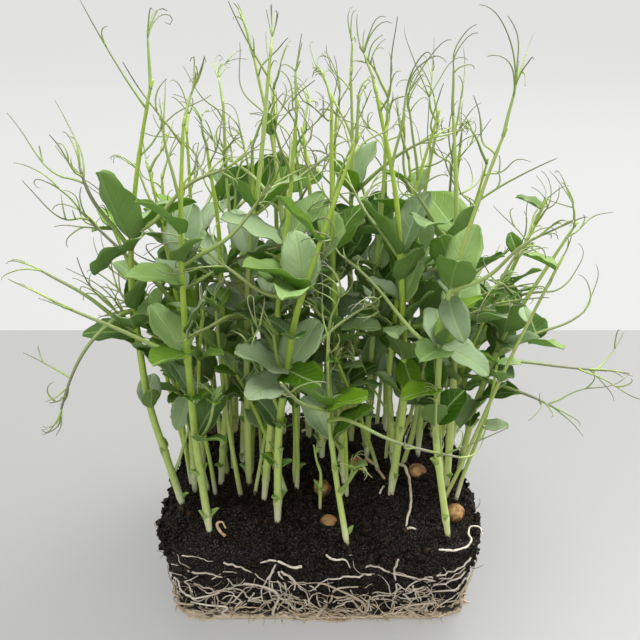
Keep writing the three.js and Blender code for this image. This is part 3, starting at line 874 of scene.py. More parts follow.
def plant(shoot, row, materials):
    skin = Skin()
    bushy = REAR_BUSHY if row[3] > REAR_Y else 1
    plant_stem(skin, shoot, row)
    for i in range(len(SCALE_LEAVES)):
        scale_leaf(skin, shoot, row, i)
    for blade in blades[shoot]:
        blade.youth = max(0, blade.start[2] / YOUNG_TOP - PALE_FROM) * 2 + 0.6 * blade.dice(25) ** 3
        leaf(skin, blade)
    for i, strand in enumerate(stalks[shoot]):
        dice = Dice(shoot, i)
        path = stalk_path(strand, 1, dice.at(94))
        tube(skin, path, (0.85, 0.4), STRAND, (dice(96) * (1.2 - strand.age), 0, strand.age))
        fan(skin, path, 0.33, dice.span(12, 21, 97), 1 + (dice(93) < 0.6 * bushy), dice.at(98))
    for i, strand in enumerate(tendrils[shoot]):
        dice = Dice(shoot, i)
        path = stalk_path(strand, 1.7, dice.at(95))
        tube(skin, path, (0.36, 0.13), STRAND, (dice(99), 1, 0.9), sides=6)
        for fork in range(int(1.4 * bushy + 1 - dice(105))):
            pick = dice.at(fork)
            k = 4 + int(7 * pick(100))
            way = unit(plus(plus(path[k + 1], path[k], -1), heading(360 * pick(101), 30), 1.1))
            tendril(skin, path[k], way, (0, 0, 1), pick.span(5, 11, 102), 0.3, 0, pick.at(103))
    for k in range(int(1 + 2.6 * draw(shoot, 104))):
        side_shoot(skin, shoot, row, k)
    for i, strand in enumerate(thin_stems[shoot]):
        thin_stem(skin, strand, Dice(shoot, i, 218))
    if row[4] >= SHORT:
        top_tuft(skin, shoot, row, bushy)
    skin.piece(f"plant_{shoot + 1:02d}", materials, "shoots", f"shoot_{shoot + 1:02d}")


# Materials

class Wire:
    """The output of a node, which sums and products can be written with"""

    def __init__(self, nodes, socket):
        self.nodes, self.socket = nodes, socket

    def math(self, operation, *others):
        return self.nodes.node("Math", dict(enumerate((self, *others))), operation=operation)

    def __add__(self, other):
        return self.math("ADD", other)

    def __sub__(self, other):
        return self.math("SUBTRACT", other)

    def __mul__(self, other):
        return self.math("MULTIPLY", other)

    def __abs__(self):
        return self.math("ABSOLUTE")

    def ramp(self, low, high):
        """0 at low and 1 at high, smooth in between"""
        return self.nodes.node("MapRange", {"Value": self, "From Min": low, "From Max": high},
                               interpolation_type="SMOOTHSTEP")


class Nodes:
    """A short way to write a material's nodes"""

    def __init__(self, name):
        self.material = bpy.data.materials.new(name)
        self.material.use_nodes = True
        self.tree = self.material.node_tree
        self.shader = self.tree.nodes["Principled BSDF"]

    def node(self, kind, values=None, out=0, **settings):
        made = self.tree.nodes.new("ShaderNode" + kind)
        for name, value in settings.items():
            setattr(made, name, value)
        for socket, value in (values or {}).items():
            self.feed(made.inputs[socket], value)
        return Wire(self, made.outputs[out])

    def feed(self, socket, value):
        if isinstance(value, Wire):
            self.tree.links.new(value.socket, socket)
        else:
            socket.default_value = value

    def attribute(self, name):
        """The three numbers that every point of a mesh carries under a name"""
        vector = self.node("Attribute", out="Vector", attribute_name=name)
        return [Wire(self, part) for part in self.node("SeparateXYZ", {0: vector}).socket.node.outputs]

    def mix(self, factor, a, b):
        a, b = (value if isinstance(value, Wire) else (*value, 1) for value in (a, b))
        return self.node("Mix", {"Factor": factor, 6: a, 7: b}, out=2, data_type="RGBA")

    def texture(self, kind, out, **values):
        """A texture in the object's own metres"""
        return self.node(kind, {"Vector": self.node("TexCoord", out="Object"), **values}, out=out)

    def noise(self, scale, detail=3.0, roughness=0.55):
        return self.texture("TexNoise", "Fac", Scale=scale, Detail=detail, Roughness=roughness)

    def bump(self, height, strength, distance):
        normal = self.node("Bump", {"Height": height, "Strength": strength, "Distance": distance})
        self.feed(self.shader.inputs["Normal"], normal)
        return normal

    def finish(self, colour, **settings):
        self.feed(self.shader.inputs["Base Color"], colour)
        for name, value in settings.items():
            self.shader.inputs[name.replace("_", " ")].default_value = value
        return self.material


def leaf_material():
    """Blue-green over dark green, partly a waxy bloom and partly painted shade and sheen; paler underneath,
    with pale veins, and light that shows through
    """
    n = Nodes("leaf")
    s, u, ident = n.attribute("place")
    youth, upper, side = n.attribute("trait")
    # Each leaf takes a random tone from dark green to pale blue-green: partly its waxy bloom, partly painted
    # shade at the dark end and painted sheen at the pale end
    bloom_and_painted_shade = ident + n.noise(120, 4) * 0.35
    colour = n.mix(bloom_and_painted_shade.ramp(0.3, 1.3), (0.034, 0.092, 0.002), (0.49, 0.61, 0.39))
    colour = n.mix(youth * 0.9, colour, (0.3, 0.52, 0.025))
    under = n.mix(youth * 0.7, (0.2, 0.31, 0.09), (0.2, 0.34, 0.055))
    colour = n.mix(upper, under, colour)
    colour = n.mix(youth.ramp(1.2, 1.8), colour, (0.4, 0.52, 0.17))
    away = abs(u)
    midrib = abs(side).ramp(0.55, 0.1)
    wave = (s * 6.5 - away * 1.9).math("FRACT")
    lateral = abs(wave - 0.5).ramp(0.085, 0.0) * away.ramp(1.0, 0.5)
    veins = midrib.math("MAXIMUM", lateral * 0.6)
    colour = n.mix(veins * 0.55, colour, (0.42, 0.58, 0.22))
    colour = n.mix(away.ramp(0.9, 1.0) * 0.35, colour, (0.20, 0.27, 0.07))
    normal = n.bump(n.noise(2600) * 0.35 - veins * 0.8, 0.6, 0.0004)
    n.finish(colour, Roughness=0.5, Specular_IOR_Level=0.2)
    glow = n.mix(youth, (0.2, 0.4, 0.01), (0.46, 0.66, 0.03))
    through = n.node("BsdfTranslucent", {"Color": glow, "Normal": normal})
    both = n.node("MixShader", {0: LIGHT_THROUGH, 1: Wire(n, n.shader.outputs[0]), 2: through})
    n.feed(n.tree.nodes["Material Output"].inputs["Surface"], both)
    return n.material


def stem_material():
    """White at the foot, pale yellow-green above it and green near the top"""
    n = Nodes("stem")
    share, angle, run = n.attribute("place")
    ident, _, _ = n.attribute("trait")
    white = n.mix(ident.ramp(0.2, 0.6), (0.62, 0.68, 0.30), (0.88, 0.87, 0.64))
    low = n.mix(run.ramp(9.0, 23.0), white, (0.51, 0.61, 0.185))
    upper = n.mix(ident.ramp(0.35, 0.75), (0.385, 0.495, 0.140), (0.415, 0.565, 0.070))
    colour = n.mix(share.ramp(0.12, 0.55), low, upper)
    colour = n.mix(n.noise(420, 4) * ident * 0.8, colour, (0.17, 0.29, 0.045))
    stain = (n.noise(900, 4) * 5.0 + run).ramp(12.2, 9.6)
    colour = n.mix(stain, colour, (0.022, 0.015, 0.010))
    n.bump((angle * 14.0).math("SINE") * 0.3 + n.noise(3000, 2), 0.3, 0.0002)
    return n.finish(colour, Roughness=0.42, Specular_IOR_Level=0.45, Subsurface_Weight=0.18,
                    Subsurface_Scale=0.0015)


def strand_material():
    """Green stalks, and tendrils that turn grey-brown at their tips"""
    n = Nodes("stalk_and_tendril")
    share, _, _ = n.attribute("place")
    ident, _, thin = n.attribute("trait")
    green = n.mix(ident, (0.225, 0.315, 0.072), (0.41, 0.51, 0.16))
    colour = n.mix(share.ramp(0.15, 1.0) * thin * 1.3, green, (0.215, 0.195, 0.140))
    colour = n.mix(n.noise(500) * 0.35, colour, (0.12, 0.22, 0.05))
    n.bump(n.noise(2500, 2), 0.2, 0.0001)
    return n.finish(colour, Roughness=0.45, Specular_IOR_Level=0.4)


def soil_material():
    """Damp potting soil: near black, with brown fibres, and pale grains that are partly lighter specks and
    partly painted wet glints
    """
    n = Nodes("potting_soil")
    shade, _, _ = n.attribute("trait")
    clods, grains_and_painted_glints = n.noise(160, 6, 0.7), n.noise(1500, 4, 0.7)
    colour = n.mix(clods.ramp(0.35, 0.7), (0.0025, 0.0020, 0.0016), (0.013, 0.0095, 0.0075))
    # Pale grains: partly lighter specks in the soil, partly painted wet glints
    colour = n.mix(grains_and_painted_glints.ramp(0.50, 0.66), colour, (0.150, 0.124, 0.104))
    colour = n.mix(shade * 0.9, colour, (0.10, 0.062, 0.036))
    rough = clods * 1.2 + (grains_and_painted_glints + n.noise(5200) * 0.5)
    for scale, share in ((420, 0.9), (1150, 0.6)):
        rough = rough - n.texture("TexVoronoi", "Distance", Scale=scale) * share
    n.bump(rough, 1.0, 0.0016)
    return n.finish(colour, Roughness=0.6, Specular_IOR_Level=0.14)


def root_material(name, pale, tan, share):
    """Pale roots, tan in patches and stained with soil"""
    n = Nodes(name)
    ident, slab, height = n.attribute("trait")
    colour = n.mix((ident * 0.6 + n.noise(90, 4) * 0.6).ramp(share - 0.3, share + 0.35), pale, tan)
    colour = n.mix(n.noise(380, 5, 0.7).ramp(0.56, 0.7) * 0.7, colour, (0.075, 0.050, 0.032))
    dirt = (height * 0.22 + n.noise(240, 5, 0.7) * 1.4).ramp(1.15, 1.45)
    colour = n.mix(slab * dirt, colour, (0.012, 0.009, 0.007))
    n.bump(n.noise(2200), 0.5, 0.0003)
    return n.finish(colour, Roughness=0.6, Specular_IOR_Level=0.35)


def pea_material():
    """A swollen seed coat: orange tan, wrinkled, darker in patches and stained with soil"""
    n = Nodes("pea_coat")
    ident, up, _ = n.attribute("trait")
    colour = n.mix(n.noise(170, 4).ramp(0.35, 0.7), (0.50, 0.25, 0.065), (0.25, 0.105, 0.032))
    colour = n.mix(ident * 0.35, colour, (0.42, 0.31, 0.14))
    colour = n.mix(n.noise(210, 4, 0.65).ramp(0.50, 0.60) * 0.75, colour, (0.13, 0.050, 0.020))
    dirt = (up * -0.45 + n.noise(330, 6, 0.75)).ramp(0.40, 0.52)
    colour = n.mix(dirt * 0.85, colour, (0.030, 0.020, 0.014))
    n.bump(n.noise(900, 5, 0.65), 0.6, 0.0006)
    return n.finish(colour, Roughness=0.5, Specular_IOR_Level=0.4, Subsurface_Weight=0.1,
                    Subsurface_Scale=0.001)


# The soil

def lumps(x, y, z, size):
    """Rounded lumps of about a size, from 0 between them to 1 on top"""
    distance = noise.voronoi(Vector((x, y, z)) / size)[0][0]
    return max(0.0, 1 - distance * 1.25)


def side_swell(x, y, z):
    return (1.8 * noise.noise(Vector((x, y, z)) / 13) + 1.4 * (lumps(x, y, z, 5) - 0.45)
            + 0.9 * (lumps(x, y, z, 2.2) - 0.45) + 0.5 * noise.noise(Vector((x, y, z)) / 0.9))


def off_side(x, y, z, lift):
    swell = side_swell(x, y, z) + lift
    reach = math.hypot(x, y)
    return (x + x / reach * swell, y + y / reach * swell, z)


def side_point(turn, z, lift=0.0):
    """A point on the side of the slab, lifted off it"""
    x, y = outline(turn, z)
    return off_side(x, y, z, lift)


def front_point(x, z, lift):
    """The same on the slab's front, by its x"""
    shrink = TAPER * (1 - z / HEIGHT)
    w, d = WIDTH / 2 - shrink, DEPTH / 2 - shrink
    over = min(max(abs(x) - w + CORNER, 0), CORNER)
    return off_side(x, CORNER - d - math.sqrt(CORNER ** 2 - over ** 2), z, lift)


BURIED = 5  # a heap this high covers its pea
HEAP_WIDTH, RING_PLACE, RING_WIDTH = 5, 4.2, 2.2  # a heap over a pea, and the ring of soil round a bare one


def ground(x, y):
    """The height of the crumbly top, which is heaped round each pea"""
    height = (soil_top(x, y) + 3.2 * noise.noise(Vector((x, y, 3)) / 11) + 2.8 * (lumps(x, y, 5, 6.5) - 0.4)
              + 1.5 * (lumps(x, y, 9, 2.7) - 0.4) + 0.6 * noise.noise(Vector((x, y, 1)) / 0.9))
    for pea_x, pea_y, _, bury in PEAS:
        away = math.hypot(x - pea_x, y - pea_y)
        if bury > BURIED:
            height += bury * math.exp(-((away / HEAP_WIDTH) ** 2))
            continue
        height += (soil_top(x, y) - 0.8 - height) * 0.9 * math.exp(-((away / 4.6) ** 4))
        height += bury * math.exp(-(((away - RING_PLACE) / RING_WIDTH) ** 2))
    for foot_x, foot_y, *_ in SHOOTS:
        near = math.exp(-(((x - foot_x) ** 2 + (y - foot_y) ** 2) / 20))
        height += (soil_top(x, y) + 0.6 - height) * 0.9 * near
    return height



CRUMBS, FIBRES, FOOT_CRUMBS = 8600, 380, 13
SOIL_COLUMNS, SOIL_LEVELS, SOIL_RINGS, FELT_COLUMNS = 400, 36, 56, 300
SOIL_FLOOR, SOIL_BRIM, SOIL_ROUNDING = MAT_HEIGHT + 0.3, HEIGHT - 1.5, 2.2
GOLDEN = (1 + 5 ** 0.5) / 2
LARGE_CRUMB = 0.5
LARGE_FORM = (
    np.array([(-1, GOLDEN, 0), (1, GOLDEN, 0), (-1, -GOLDEN, 0), (1, -GOLDEN, 0),
              (0, -1, GOLDEN), (0, 1, GOLDEN), (0, -1, -GOLDEN), (0, 1, -GOLDEN),
              (GOLDEN, 0, -1), (GOLDEN, 0, 1), (-GOLDEN, 0, -1), (-GOLDEN, 0, 1)]) / 1.9,
    [(0, 11, 5), (0, 5, 1), (0, 1, 7), (0, 7, 10), (0, 10, 11), (1, 5, 9), (5, 11, 4), (11, 10, 2),
     (10, 7, 6), (7, 1, 8), (3, 9, 4), (3, 4, 2), (3, 2, 6), (3, 6, 8), (3, 8, 9), (4, 9, 5), (2, 4, 11),
     (6, 2, 10), (8, 6, 7), (9, 8, 1)])
SMALL_FORM = (np.array([(1, 0, 0), (-1, 0, 0), (0, 1, 0), (0, -1, 0), (0, 0, 1), (0, 0, -1)]),
              [(0, 2, 4), (2, 1, 4), (1, 3, 4), (3, 0, 4), (2, 0, 5), (1, 2, 5), (3, 1, 5), (0, 3, 5)])


def crumb(skin, centre, size, shade, dice):
    """A small broken lump of soil, with fewer faces where it is small"""
    corners, faces = SMALL_FORM if size < LARGE_CRUMB else LARGE_FORM
    jitter = np.array([[dice.span(0.45, 1.45, i, 1)] for i in range(len(corners))])
    stretch = np.array([dice.span(0.7, 1.4, i, 2) for i in range(3)])
    spin = np.array(Matrix.Rotation(ROUND * dice(3), 3, Vector(heading(360 * dice(4), 30))))
    points = (corners * jitter * stretch) @ spin * size + np.array(centre)
    skin.add(points, [], faces, 0, (0, 0, 0), (shade, 0, 0))


def on_top(turn, share):
    """A point on the crumbly top, at a share of the way from its middle to its edge"""
    x, y = outline(turn, HEIGHT)
    swell = side_swell(x, y, HEIGHT) * share ** 8 / math.hypot(x, y)
    height = ground(x * share, y * share) - SOIL_ROUNDING * share ** 14
    return (x * (share + swell), y * (share + swell), height)


def soil(material):
    skin = Skin()
    turns = [i / SOIL_COLUMNS for i in range(SOIL_COLUMNS)]
    levels = np.linspace(SOIL_FLOOR, SOIL_BRIM, SOIL_LEVELS)
    rings = [[side_point(turn, z) for turn in turns] for z in levels]
    rings += [[on_top(turn, 1 - ring / SOIL_RINGS) for turn in turns] for ring in range(SOIL_RINGS)]
    shell(skin, rings, [(0, 0, SOIL_FLOOR), (0, 0, ground(0, 0))], 0, (0, 0, 0))
    for i in range(CRUMBS):
        dice = Dice(i)
        size = 0.22 + 1.15 * dice(41) ** 4
        brown = 1 if dice(42) < 0.045 else 0.25 * dice(43)
        if i % 5 < 3:
            share = math.sqrt(dice(45))
            x, y = (v * share for v in outline(dice(44), HEIGHT))
            centre = (x, y, ground(x, y) + 0.3 * size - 2.0 * share ** 14)
        else:
            centre = side_point(dice(46), SOIL_FLOOR + (HEIGHT - SOIL_FLOOR) * dice(47) ** 0.7, 0.25 * size)
        crumb(skin, centre, size, brown, dice.at(48))
    for i, (foot_x, foot_y, *_) in enumerate(SHOOTS):
        for k in range(FOOT_CRUMBS):
            dice = Dice(i, k)
            x, y, _ = plus((foot_x, foot_y, 0), heading(28 * k + 30 * dice(151), 0), dice.span(1.2, 2.8, 152))
            crumb(skin, (x, y, ground(x, y)), dice.span(0.4, 1.4, 153), 0.2 * dice(154), dice.at(155))
    for i in range(FIBRES):
        dice = Dice(i)
        turn, share = dice(51), math.sqrt(dice(52))
        x, y = (v * share for v in outline(turn, HEIGHT - 3))
        start = side_point(turn, dice.span(7, 36, 53), 0.3) if i % 2 else (x, y, ground(x, y) + 0.1)
        path = arc(start, heading(360 * dice(54), dice.span(-15, 35, 55)), dice.span(2, 7, 56),
                   heading(360 * dice(59), 20), 0.8, 0.4, dice.at(57))
        tube(skin, path, (0.16, 0.09), 0, (dice.span(0.3, 1.2, 58), 0, 0), sides=3)
    skin.piece("potting_soil", [material], "soil", "soil_block")


# The roots

ROOTLETS, FRINGE, FELT_ROOTS, LOW_ROOTS, HIGH_ROOTS = 24, 70, 420, 58, 46
ROOT_STEP = 1.3


def side_speed(turn, z):
    """Millimetres along the side of the slab for one whole turn at this place"""
    return math.dist(outline(turn - 0.002, z), outline(turn + 0.002, z)) / 0.004


def side_root(skin, turn, z, angle, length, radius, wander, lift, dice):
    """A root that runs over the side of the slab: angle is 0 along it and 90 upwards"""
    path, a = [], math.radians(angle)
    for i in range(max(5, int(length / ROOT_STEP))):
        z = min(max(z, 0.6), HEIGHT - 2)
        weave = lift + 0.75 * math.sin(0.55 * i + ROUND * dice(1)) * dice(2)
        path.append(side_point(turn, z, weave + radius * 0.4))
        a += wander * math.sin(0.35 * i + ROUND * dice(3)) + wander * 0.9 * (dice(i, 4) - 0.5)
        turn += ROOT_STEP * math.cos(a) / side_speed(turn, z)
        z += ROOT_STEP * math.sin(a)
    tube(skin, path, (radius, radius * 0.38), 0, (dice(5), 0, 0), sides=5)


def rootlet(skin, turn, index):
    """A climbing root of the root mat's solid"""
    climb, drift = between(6, 24, index, 71), between(-0.07, 0.07, index, 72)
    points = []
    for s in np.linspace(0, 1, 13):
        z = MAT_HEIGHT * 0.5 + climb * math.sin(s * math.pi / 2)
        points.append((*outline(turn + drift * s * s + 0.006 * math.sin(7 * s + index), z, -1.45), z))
    tube(skin, points, (0.6, 0.28), 0, (draw(index, 73), 0, 0), sides=6)


# The thick roots that show on the front: a radius, then points (x, height) along each
FRONT_ROOTS = [
    (0.22, (-49, 36), (-44, 35.5), (-38, 33.5)),
    (0.42, (-35, 32), (-29.5, 29.5), (-25.5, 26.5), (-20, 19.5)),
    (0.22, (-55, 28), (-51, 30)),
    (0.42, (-49, 26.5), (-42, 26), (-35.5, 23), (-32.5, 18.5), (-25, 18.5)),
    (0.45, (-55, 19), (-51.5, 12.5), (-43, 13), (-36, 15), (-29, 9)),
    (0.45, (-16.5, 30), (-19, 21), (-18.5, 11), (-15.5, 2)),
    (0.4, (-15, 27.5), (-12.5, 16), (-16, 5.5), (-17.5, 1)),
    (0.4, (-14, 28), (-9, 21), (-13, 8)),
    (0.34, (-13, 26.5), (-6, 16), (-2, 2)),
    (0.4, (-17, 27.5), (-22, 16), (-20, 5.5)),
    (0.42, (18.5, 26.5), (11.5, 25), (3, 22.5), (-4.5, 15)),
    (0.46, (15.5, 30), (21, 29.5), (26, 26), (36, 23), (47, 22.5), (54, 26)),
    (0.5, (28.5, 33), (27.5, 26.5), (28.5, 16), (27, 5.5)),
    (0.4, (55, 32), (50.5, 27.5), (41, 24), (33, 20), (31.5, 16)),
    (0.42, (55, 23.5), (47, 19.5), (36.5, 18), (31, 13.5)),
    (0.42, (31, 15), (36.5, 7), (42, 1)),
    (0.4, (55, 18.5), (52, 15), (42, 14), (33, 11)),
    (0.38, (11.5, 16), (14, 11), (20.5, 6)),
    (0.36, (3, 1.5), (6, 7.5), (11, 10), (15, 7), (16, 1.5)),
    (0.3, (-10.5, 3), (-5, 8), (-2.5, 13.5), (5, 13.5)),
    (0.3, (-47.5, 15), (-51, 20), (-45.5, 24)),
    (0.36, (-24.5, 15), (-29, 7.5), (-37, 5.5), (-44, 1)),
    (0.34, (41, 1.5), (47.5, 8), (54, 11)),
]
# Where roots fan out: the turn round the slab, how many there are, and their height (0 at the mat)
FANS = [(0.655, 6, 0), (0.702, 6, 20), (0.71, 5, 12), (0.745, 4, 0), (0.795, 6, 0), (0.83, 5, 18),
        (0.85, 7, 0), (0.92, 12, 0), (0.04, 10, 0), (0.13, 12, 18), (0.22, 12, 0), (0.31, 12, 21),
        (0.40, 12, 0), (0.47, 10, 0), (0.55, 10, 17), (0.60, 10, 0)]


def roots(material):
    skin = Skin()
    for i in range(ROOTLETS):
        rootlet(skin, i / ROOTLETS, i)
    for f, (turn, count, height) in enumerate(FANS):
        for i in range(count):
            dice = Dice(f, i)
            angle = dice.span(-150, -30, 61) if height else dice.span(12, 168, 61)
            z = height + dice.span(-2, 2, 63) if height else dice.span(1.5, 7, 63)
            side_root(skin, turn + dice.span(-0.01, 0.01, 62), z, angle, dice.span(12, 32, 64),
                      dice.span(0.22, 0.44, 65), 0.24, 0.3, dice.at(66))
    for i, (radius, *points) in enumerate(FRONT_ROOTS):
        path = smooth_path([(x, z, 0) for x, z in points], 6)
        weave = [0.8 * noise.noise(Vector((x / 4, z / 4, i))) for x, z, _ in path]
        path = [front_point(x, z + w, 0.4 + 0.5 * abs(w)) for (x, z, _), w in zip(path, weave)]
        tube(skin, path, (radius, radius / 2), 0, (0.3 * draw(i, 37), 0, 0), sides=6)
    for i in range(LOW_ROOTS):
        dice = Dice(i)
        side_root(skin, dice(31), dice.span(3, 13, 32), 180 * (i % 2) + dice.span(-24, 24, 33),
                  dice.span(18, 48, 34), dice.span(0.2, 0.42, 35), 0.22, 0.2, dice.at(36))
    for i in range(HIGH_ROOTS):
        dice = Dice(i)
        side_root(skin, dice(21), dice.span(10, 29, 22), 360 * dice(23), dice.span(8, 26, 24),
                  dice.span(0.14, 0.3, 25), 0.3, 0.15, dice.at(26))
    skin.piece("side_roots", [material], "roots")


FELT_RINGS = ((0.0, 0.6), (0.9, 0.0), (2.0, -0.2), (3.2, 0.2), (4.6, 1.1))  # the height and inset of each
FELT_TOP = 4.6


def on_felt(turn, z, inset):
    x, y = outline(turn, 0, inset - MAT_LIP)
    swell = 0.7 * noise.noise(Vector((x, y, z * 2)) / 3.5) + 0.5 * (lumps(x, y, z, 1.6) - 0.5)
    rise = 0 if z == 0 else 0.5 * noise.noise(Vector((x, y, 7)) / 4)
    grown = 1 + swell / math.hypot(x, y)
    return (x * grown, y * grown, z + rise)


def root_felt(material):
    """The felt under the slab: a low mat of tangled roots that stands on its flat underside"""
    skin = Skin()
    rings = [[on_felt(i / FELT_COLUMNS, z, inset) for i in range(FELT_COLUMNS)] for z, inset in FELT_RINGS]
    shell(skin, rings, [(0, 0, 0), (0, 0, FELT_TOP)], 0, lambda points: [(0.5, 1, z) for _, _, z in points])
    for i in range(FELT_ROOTS):
        dice = Dice(i)
        side_root(skin, dice(11), 0.5 + 5 * dice(12) ** 1.6, 180 * (i % 2) + dice.span(-22, 22, 13),
                  dice.span(8, 26, 14), dice.span(0.13, 0.36, 15), 0.2, dice.span(1.0, 1.9, 17), dice.at(16))
    for i in range(FRINGE):
        dice = Dice(i)
        x, y = outline(dice(131), 0, -MAT_LIP)
        outwards = math.degrees(math.atan2(y, x)) + dice.span(-75, 75, 133)
        path = arc((x, y, dice.span(0.4, 2.2, 132)), heading(outwards, 0), dice.span(1, 3.6, 134),
                   heading(outwards + 90, 0), dice.span(-1.4, 1.4, 135), 0, dice.at(136))
        path = [(px, py, max(0.3, pz - 0.3 * k)) for k, (px, py, pz) in enumerate(path)]
        tube(skin, path, (0.28, 0.14), 0, (dice(137), 0, 0), sides=4)
    skin.piece("root_felt", [material], "roots", "root_mat")


# Peas and pale sprouts

PEA_ROWS, PEA_COLUMNS, PEA_TOP = 20, 28, 0.46


def pea(index, x, y, turn, material):
    middle = (x, y, soil_top(x, y) + SEED * 0.16)
    rings = []
    for i in range(1, PEA_ROWS):
        polar, ring = math.pi * i / PEA_ROWS, []
        for j in range(PEA_COLUMNS):
            around = 2 * math.pi * j / PEA_COLUMNS
            n = Vector((math.sin(polar) * math.cos(around), math.sin(polar) * math.sin(around),
                        math.cos(polar)))
            dent = 0.11 * noise.noise(n * 1.6 + Vector((index * 5, 0, 0))) + 0.05 * noise.noise(n * 4.5)
            seam = -0.07 * math.exp(-((n.y / 0.13) ** 2)) * max(0, n.z)
            r = SEED / 2 * (1 + dent + seam)
            ring.append(plus(middle, turned((n.x * 1.12 * r, n.y * 0.95 * r, n.z * 0.92 * r), (0, 0, 1),
                                            math.radians(turn))))
        rings.append(ring)
    skin = Skin()
    shell(skin, rings, [plus(middle, (0, 0, SEED * PEA_TOP)), plus(middle, (0, 0, -SEED * PEA_TOP))], 0,
          lambda points: [(draw(index, 7), (z - middle[2]) / SEED, 0) for _, _, z in points], flipped=True)
    skin.piece(f"swollen_pea_{index}", [material], "peas", f"pea_{index}")



# Pale roots and seedlings that lie on the soil: points (x, y, height over the soil), the radius at each
# end, and how tan it is
SPROUTS = [
    ([(-34.4, -41.5, -1), (-36.8, -41.2, 2.6), (-36.6, -40.8, 4.8), (-34.8, -40.6, 4.6), (-33.8, -41, 2.6)],
     0.6, 0.3, 0.9),
    ([(31.8, -4, 7), (34.4, -6.5, 7.4), (36, -11, 4.6), (35.8, -19, 2.6), (34, -27, 1.3), (32, -33.5, 0)],
     0.7, 0.4, 0.5),
    ([(19, 2, 3), (22.5, 0, 2.4), (25, -4.5, 1.4), (27.5, -9, -0.5)], 0.75, 0.5, 0.8),
    ([(23.8, -16.6, 0.6), (25, -13.5, 1.4), (26, -11.5, 0.3)], 0.42, 0.3, 0),
    ([(31, -34.8, 0.6), (33.4, -35.2, 1), (35.6, -35.2, 0.2)], 0.48, 0.36, 0.1),
    ([(43, -44, -2.2), (48, -44.6, -2.4), (52.5, -43.4, -1.4), (55, -41.5, 0.4), (54.4, -38.6, 1.2),
      (55.8, -35.4, 1.3), (58.6, -35.6, 1.2), (59.8, -38.6, 0.2)], 0.42, 0.26, 0),
    ([(-6.6, -44.8, -7.2), (-10, -44.9, -7.4), (-14, -44.9, -5.4), (-18, -44.9, -5.2), (-21.6, -44.8, -7.6)],
     0.55, 0.26, 0),
    ([(2.3, -45, -2.2), (4.4, -45.2, -4), (7.1, -45.2, -3.8), (9.6, -45, -4.4), (10.9, -44.6, -7.5)],
     0.42, 0.24, 0),
    ([(-8, 26, 0.6), (-4, 30, 1.6), (2, 30, 0.8)], 0.6, 0.35, 0.4),
    ([(30, 34, 0.6), (35, 36, 1.8), (38, 33, 0.5)], 0.6, 0.35, 0.7),
]


def sprouts(material):
    skin = Skin()
    for points, thick, thin, tan in SPROUTS:
        path = smooth_path([(x, y, soil_top(x, y) + up + 0.6) for x, y, up in points], 7)
        path = path + [[0.45 * noise.noise(Vector(p) / 2.5 + Vector((axis * 9, 0, 0))) for axis in range(3)]
                       for p in path]
        uneven = [1 + 0.3 * noise.noise(Vector(p) / 1.7) for p in path]
        tube(skin, path, np.linspace(thick, thin, len(path)) * uneven, 0, (tan, 0, 0))
    skin.piece("pale_sprouts", [material], "roots")


# The stage: a pale table with a brighter ground beyond it, soft light, and the camera

PHOTO_SIZE, FOCAL_PIXELS = 640, 678
PITCH = 25
CAMERA_PLACE = (0, -0.2306, 0.216)
TABLE_EDGE, TABLE_HALF = 0.215, 3
WALL_PLACE, WALL_BEND, WALL_HEIGHT, WALL_HALF, WALL_STEPS = 3.0, 1.2, 4, 6, 24
SWEEP_DROP = 0.004  # how far the far ground lies under the table
LIT_PLACE = (0, 0, 0.1)
LIGHTS = [  # name, place, size and power
    ("window", (1.0, 0.5, 1.4), 1.3, 31),
    ("ceiling", (0.22, 0.0, 1.8), 1.5, 44),
    ("front_fill", (-0.5, -1.5, 0.9), 0.9, 9),
]


def stage_piece(name, corners, faces, colour, roughness, glow):
    """A plain surface with a glow of its own, which keeps the shadows on it soft"""
    n = Nodes(name)
    shade = n.mix(n.noise(2.2, 2) * 0.12, colour, [c * 0.9 for c in colour])
    mesh = bpy.data.meshes.new(name)
    mesh.from_pydata(corners, [], faces)
    mesh.polygons.foreach_set("use_smooth", [True] * len(faces))
    mesh.materials.append(n.finish(shade, Roughness=roughness, Emission_Color=(1, 1, 0.985, 1),
                                   Emission_Strength=glow))
    linked(name, mesh)


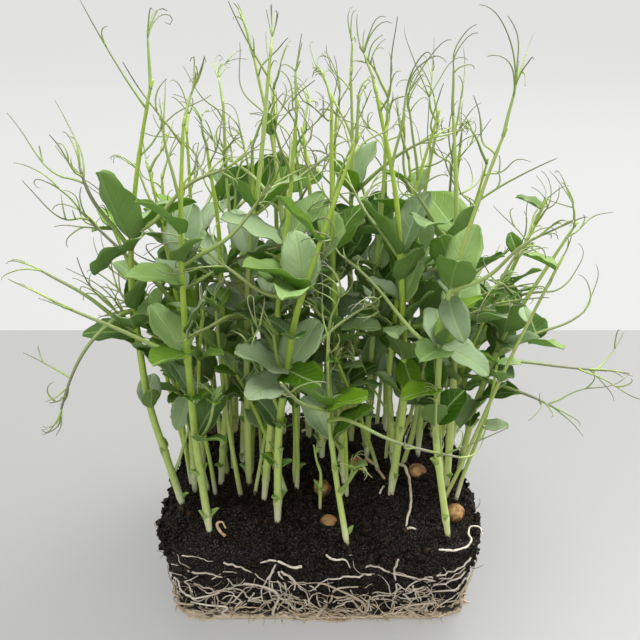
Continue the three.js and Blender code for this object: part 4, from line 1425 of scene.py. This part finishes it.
def stage():
    ends = (-TABLE_HALF, TABLE_HALF)
    stage_piece("table", [(x, y, 0) for y in (-TABLE_HALF, TABLE_EDGE) for x in ends], [(0, 1, 3, 2)],
                (0.105, 0.104, 0.101), 0.4, 0.32)
    turns = [math.radians(90 * i / WALL_STEPS) for i in range(WALL_STEPS + 1)]
    bend = [(WALL_PLACE - WALL_BEND * (1 - math.sin(a)), WALL_BEND * (1 - math.cos(a))) for a in turns]
    profile = [(TABLE_EDGE, 0)] + bend + [(WALL_PLACE, WALL_HEIGHT)]
    corners = [(x, y, z - SWEEP_DROP) for y, z in profile for x in (-WALL_HALF, WALL_HALF)]
    faces = [(i, i + 1, i + 3, i + 2) for i in range(0, 2 * len(profile) - 2, 2)]
    stage_piece("far_ground", corners, faces, (0.04, 0.04, 0.04), 0.9, 0.69)
    world = bpy.data.worlds.new("soft_room")
    world.use_nodes = True
    world.node_tree.nodes["Background"].inputs["Color"].default_value = (1.0, 1.0, 0.97, 1)
    world.node_tree.nodes["Background"].inputs["Strength"].default_value = 0.66
    bpy.context.scene.world = world
    for name, place, size, power in LIGHTS:
        data = bpy.data.lights.new(name, "AREA")
        data.shape, data.size, data.energy = "DISK", size, power
        light = linked(name, data)
        light.location = place
        light.rotation_euler = (Vector(LIT_PLACE) - Vector(place)).to_track_quat("-Z", "Y").to_euler()
    bpy.context.scene.view_settings.view_transform = "Standard"


def camera():
    data = bpy.data.cameras.new("camera")
    data.sensor_width = 36
    data.lens = FOCAL_PIXELS / PHOTO_SIZE * data.sensor_width
    made = linked("camera", data)
    made.location = CAMERA_PLACE
    made.rotation_euler = (math.radians(90 - PITCH), 0, 0)
    bpy.context.scene.camera = made


camera()
grow()
plant_materials = [stem_material(), leaf_material(), strand_material()]
for shoot, row in enumerate(SHOOTS):
    plant(shoot, row, plant_materials)
soil(soil_material())
roots(root_material("white_root", (0.58, 0.52, 0.43), (0.36, 0.27, 0.17), 0.72))
root_felt(root_material("felt_root", (0.58, 0.48, 0.35), (0.40, 0.30, 0.19), 0.6))
sprouts(root_material("pale_sprout", (0.60, 0.55, 0.45), (0.46, 0.31, 0.15), 0.62))
coat = pea_material()
for index, (x, y, turn, _) in enumerate(PEAS):
    pea(index + 1, x, y, turn, coat)
stage()
